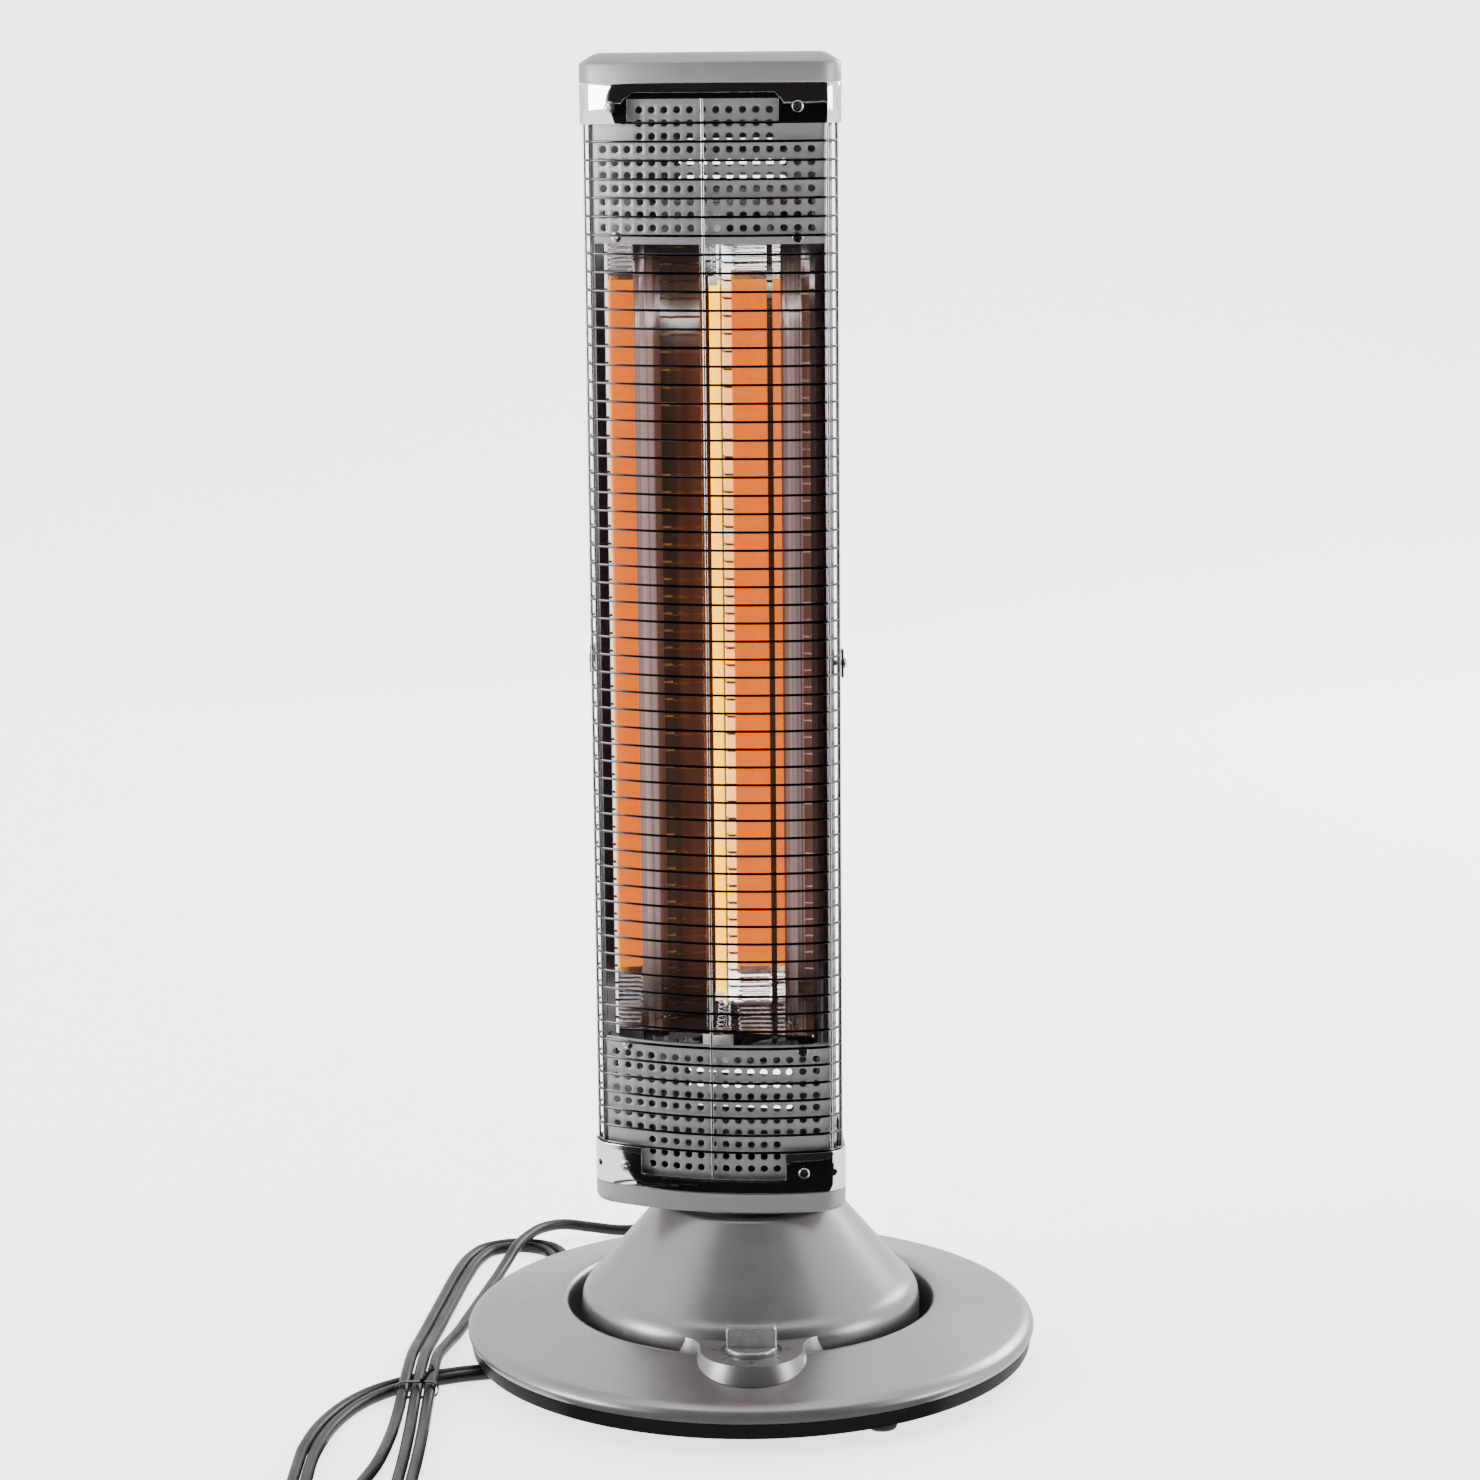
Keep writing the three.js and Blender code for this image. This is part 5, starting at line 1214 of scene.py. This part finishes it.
COVER_EDGE_V, COVER_STEPS = 29.0, (14, 10, 8)
VENT_ROWS, VENT_COUNT, VENT_PITCH = (LOWER_FRAME_Z + 26.0, UPPER_FRAME_TOP - 102.0), 8, 10.0
VENT_HALF, VENT_RADIUS = 28.0, 2.0


def back_half(inset):
    """Right half of the back, from the cover's front edge round to the middle."""
    half = [(u, v) for u, v in half_outline(inset, *COVER_STEPS) if v < COVER_EDGE_V + 1]
    u, v = half[0]
    return [(u + (COVER_EDGE_V - v) * math.tan(math.radians(SIDE_ANGLE)), COVER_EDGE_V)] + half


class HEATER_OT_rear(bpy.types.Operator):
    """Fold the rear cover, cut its rounded vents and line its sides with dark iron sheets that stand in for
    the shade inside it
    """

    bl_idname = "heater.rear"
    bl_label = "Rear cover"

    def execute(self, context):
        outer, inner = back_half(5.0), back_half(6.2)
        ring = outer + [(-u, v) for u, v in reversed(outer)] + [(-u, v) for u, v in inner] + inner[::-1]
        cover = drawn_out("rear_cover_shell", levels_of(ring, (LOWER_FRAME_Z, UPPER_FRAME_TOP)), capped=True)
        for low in VENT_ROWS:
            for i in range(VENT_COUNT):
                z = low + VENT_PITCH * i
                slot = arc(VENT_HALF, z, VENT_RADIUS, -90, 90, 8)
                slot += arc(-VENT_HALF, z, VENT_RADIUS, 90, 270, 8)
                rings = [[on_column(u, v, height) for u, height in slot] for v in (-30.0, -60.0)]
                cut_away(cover, drawn_out("vent_space", rings, capped=True))
        soft_edges(cover, 0.3, 2, 50)
        # painted shade: dark sheets inside the cover's sides, where the wires show only shade
        for side, word in ((-1, "left"), (1, "right")):
            outer, inner = [
                [(side * u, v) for u, v in half_outline(inset, *COVER_STEPS) if -20.0 < v < COVER_EDGE_V]
                for inset in (6.4, 6.8)]
            heights = (LOWER_FRAME_Z + 1, UPPER_FRAME_TOP - 1)
            lining = drawn_out(f"cover_shade_lining_{word}", levels_of(outer + inner[::-1], heights), capped=True)
            finished(smooth(lining, 40), "iron", "column")
        finished(smooth(cover, 40), "silver", "column", "rear_cover")
        return {"FINISHED"}


# What the part's own solids show

CARRIED = {
    "steel": ["swivel_tube", "swing_horn", "swing_arm", "swing_link", "swivel_bearing", "swing_motor",
              "lamp_holder_lower", "lamp_holder_upper"],
    "nylon": ["tip_plunger", "terminal_block", "swivel_washer"],
    "iron": ["ballast_ring"],
    "black": ["rotary_switch", "tip_switch"],
    # the reflector's end plates take the mirror finish with its painted reflections
    "mirror": ["reflector_end_lower", "reflector_end_upper"],
}


class HEATER_OT_carried(bpy.types.Operator):
    """Give every solid that shows as it is its own finish"""

    bl_idname = "heater.carried"
    bl_label = "Carried solids"

    def execute(self, context):
        for finish, nodes in CARRIED.items():
            for node in nodes:
                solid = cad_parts[node]
                solid.data.materials.clear()
                solid.data.materials.append(finish_named(finish))
        return {"FINISHED"}


# Stage

# The dark sector in front, in degrees from straight ahead, and how far from the column it starts and ends.
DARK_LEFT, DARK_RIGHT = -58.0, 64.0
DARK_NEAR, DARK_FAR = 0.12, 8.6
# Two darker parts of the wall behind the heater, by their run across and their soft edges.
GAPS_BEHIND = ((-0.8, -0.72, -0.12, 0.02), (0.3, 0.36, 0.84, 0.92))
GAP_DEPTH = 0.85
FLOOR_SIZE, FLOOR_BACK, SWEEP, SWEEP_STEPS = 18, 2.2, 1.5, 12
# Each light's place, aim, size and power.
LIGHTS = {
    "key light": ((-2.5, -0.8, 0.9), (0, 0, 0.4), 1.2, 50),
    "fill light": ((2.5, -0.6, 0.8), (0, 0, 0.4), 1.0, 22),
    "rim light": ((1.7, 2.1, 1.5), (0.05, 0, 0.1), 1.0, 55),
    "top light": ((0.1, 0.4, 2.6), (0, 0, 0.2), 2.2, 22),
}
CAMERA_PLACE, CAMERA_PITCH, CAMERA_ROLL, CAMERA_LENS = (-0.0032, -2.0038, 0.7167), 10.276, -0.519, 89.86


def plain_finish(name, grey, roughness=0.9, specular=0.5):
    finish, tree, shader, place = new_finish(name)
    preset(shader, {
        "Base Color": (grey, grey, grey, 1), "Roughness": roughness, "Specular IOR Level": specular})
    return finish, shader


def seen_only(piece, finish, camera=False, glossy=False):
    """Puts a part of the room on the stage for the camera alone, or for reflections alone."""
    piece.data.materials.clear()
    piece.data.materials.append(finish)
    piece.visible_camera, piece.visible_glossy = camera, glossy
    piece.visible_diffuse = piece.visible_shadow = piece.visible_transmission = False


def dark_end_of_room():
    """A dark wedge of floor in front, seen only in polished metal."""
    left, right = math.tan(math.radians(DARK_LEFT)), math.tan(math.radians(DARK_RIGHT))
    near, far = DARK_NEAR, DARK_FAR
    edge = [
        (near * left, -near), (-far, far / left), (-far, -far),
        (far, -far), (far, -far / right), (near * right, -near)]
    bpy.ops.object.select_all(action="DESELECT")
    bpy.ops.mesh.primitive_circle_add(vertices=len(edge), fill_type="NGON")
    flag = bpy.context.object
    flag.name = "dark_flag"
    for vertex, (x, y) in zip(flag.data.vertices, edge):
        vertex.co = (x, y, 0.002)
    seen_only(flag, plain_finish("dark flag", 0.004, 1.0, 0.0)[0], glossy=True)


def pale_end_of_room(finish):
    """A pale wall behind the camera, seen only by a camera that looks from the back."""
    bpy.ops.object.select_all(action="DESELECT")
    bpy.ops.mesh.primitive_plane_add(size=FLOOR_SIZE, location=(0, -8.9, 8.9), rotation=(math.pi / 2, 0, 0))
    bpy.ops.object.transform_apply(location=True, rotation=True, scale=True)
    bpy.context.object.name = "pale_wall"
    seen_only(bpy.context.object, finish, camera=True)


def pale_floor():
    """A floor that sweeps up into a wall behind the heater, with a duller twin for the metal to mirror."""
    bpy.ops.object.select_all(action="DESELECT")
    bpy.ops.mesh.primitive_plane_add(size=FLOOR_SIZE)
    floor = bpy.context.object
    floor.name = "floor"
    bpy.ops.object.mode_set(mode="EDIT")
    bpy.ops.mesh.select_mode(type="EDGE")
    mesh = bmesh.from_edit_mesh(floor.data)
    for edge in mesh.edges:
        edge.select_set(all(vertex.co.y > 0 for vertex in edge.verts))
    for vertex in mesh.verts:
        vertex.co.y = min(vertex.co.y, FLOOR_BACK)
    bmesh.update_edit_mesh(floor.data)
    for k in range(SWEEP_STEPS):
        low, high = (math.pi / 2 * i / SWEEP_STEPS for i in (k, k + 1))
        step = (0, SWEEP * (math.sin(high) - math.sin(low)), SWEEP * (math.cos(low) - math.cos(high)))
        bpy.ops.mesh.extrude_edges_move(TRANSFORM_OT_translate={"value": step})
    bpy.ops.mesh.extrude_edges_move(TRANSFORM_OT_translate={"value": (0, 0, 4)})
    bpy.ops.object.mode_set(mode="OBJECT")
    finish, shader = plain_finish("pale floor", 0.93)
    preset(shader, {"Emission Color": (1, 1, 1, 1), "Emission Strength": 2.2})
    floor.data.materials.append(finish)
    smooth(floor, 40)
    reflected = copied(floor, "floor_seen_in_metal", Matrix.Identity(4))
    seen_only(reflected, plain_finish("pale floor in metal", 0.68)[0], glossy=True)
    floor.visible_glossy = False
    return finish


def studio_walls(tree):
    """White walls all round, and the dark end of the room in front of the heater."""
    background = tree.nodes["Background"]
    background.inputs["Strength"].default_value = 1.7
    direction = tree.nodes.new("ShaderNodeTexCoord").outputs["Generated"]
    level = tree.nodes.new("ShaderNodeVectorMath")
    level.operation = "MULTIPLY"
    level.inputs[1].default_value = (1, 1, 0)
    tree.links.new(direction, level.inputs[0])
    unit = tree.nodes.new("ShaderNodeVectorMath")
    unit.operation = "NORMALIZE"
    tree.links.new(level.outputs["Vector"], unit.inputs[0])
    unit = unit.outputs["Vector"]
    middle, half = (math.radians(DARK_RIGHT + way * DARK_LEFT) / 2 for way in (1, -1))
    along = distance_along(tree, unit, (math.sin(middle), -math.cos(middle), 0))
    walls = ranged(tree, along, 1.0, 0.0, math.cos(half + 0.09), math.cos(half))
    sideways, backwards = distance_along(tree, unit, (1, 0, 0)), distance_along(tree, unit, (0, 1, 0))
    gaps = []
    for a, b, c, d in GAPS_BEHIND:
        after = ranged(tree, sideways, 0.0, GAP_DEPTH, a, b)
        gaps.append(product(tree, after, ranged(tree, sideways, 1.0, 0.0, c, d)))
    behind = product(tree, sum_of(tree, "ADD", *gaps), ranged(tree, backwards, 0.0, 1.0, 0.0, 0.1))
    walls = product(tree, walls, ranged(tree, behind, 1.0, 0.0, 0.0, 1.0))
    ceiling = ranged(tree, distance_along(tree, direction, (0, 0, 1)), 0.0, 0.12, 0.75, 0.9)
    bright = shaded(tree, sum_of(tree, "MAXIMUM", walls, ceiling), (0.012, 0.01, 0.01), (1, 1, 1), 0.0, 1.0)
    tree.links.new(bright, background.inputs["Color"])


def studio_lights():
    for name, (place, aim, size, power) in LIGHTS.items():
        bpy.ops.object.light_add(type="AREA", location=place)
        light = bpy.context.object
        light.name = name
        light.data.size = size
        light.data.energy = power
        light.rotation_euler = (Vector(aim) - Vector(place)).to_track_quat("-Z", "Y").to_euler()


def photograph_view():
    """The camera at the photograph's view."""
    bpy.ops.object.camera_add()
    camera = bpy.context.object
    camera.name = "photograph view"
    tilt = Matrix.Rotation(math.radians(90 - CAMERA_PITCH), 4, "X")
    roll = Matrix.Rotation(math.radians(CAMERA_ROLL), 4, "Z")
    camera.matrix_world = Matrix.Translation(CAMERA_PLACE) @ tilt @ roll
    camera.data.lens = CAMERA_LENS
    camera.data.sensor_width = 36
    return camera


class HEATER_OT_stage(bpy.types.Operator):
    """Set the floor, the soft lights and the camera"""

    bl_idname = "heater.stage"
    bl_label = "Stage"

    def execute(self, context):
        finish = pale_floor()
        dark_end_of_room()
        pale_end_of_room(finish)
        world = context.scene.world or bpy.data.worlds.new("studio")
        context.scene.world = world
        world.use_nodes = True
        studio_walls(world.node_tree)
        studio_lights()
        context.scene.camera = photograph_view()
        return {"FINISHED"}


class HEATER_PT_sidebar(bpy.types.Panel):
    """Lists the heater's settings and pieces"""

    bl_idname = "HEATER_PT_sidebar"
    bl_label = "Column heater"
    bl_space_type = "VIEW_3D"
    bl_region_type = "UI"
    bl_category = "Heater"

    def draw(self, context):
        settings = context.scene.heater_settings
        for name in ("paint_colour", "glow_strength", "wire_diameter", "turning_steps"):
            self.layout.prop(settings, name)
        for piece in PIECES:
            self.layout.operator(piece.bl_idname)


PIECES = (
    HEATER_OT_stage, HEATER_OT_base, HEATER_OT_pedestal, HEATER_OT_dial, HEATER_OT_caps, HEATER_OT_frames,
    HEATER_OT_guard, HEATER_OT_panels, HEATER_OT_lamp, HEATER_OT_cord,
    HEATER_OT_screws, HEATER_OT_rear, HEATER_OT_carried,
)
CLASSES = (HeaterSettings, *PIECES, HEATER_PT_sidebar)


def register():
    for cls in CLASSES:
        bpy.utils.register_class(cls)
    bpy.types.Scene.heater_settings = PointerProperty(type=HeaterSettings)


def unregister():
    del bpy.types.Scene.heater_settings
    for cls in reversed(CLASSES):
        bpy.utils.unregister_class(cls)


def main():
    register()
    bpy.ops.heater.stage()
    bpy.ops.heater.base()
    bpy.ops.heater.pedestal()
    bpy.ops.heater.dial()
    bpy.ops.heater.caps()
    bpy.ops.heater.frames()
    bpy.ops.heater.guard()
    bpy.ops.heater.panels()
    bpy.ops.heater.lamp()
    bpy.ops.heater.cord()
    bpy.ops.heater.screws()
    bpy.ops.heater.rear()
    bpy.ops.heater.carried()


if __name__ == "__main__":
    main()
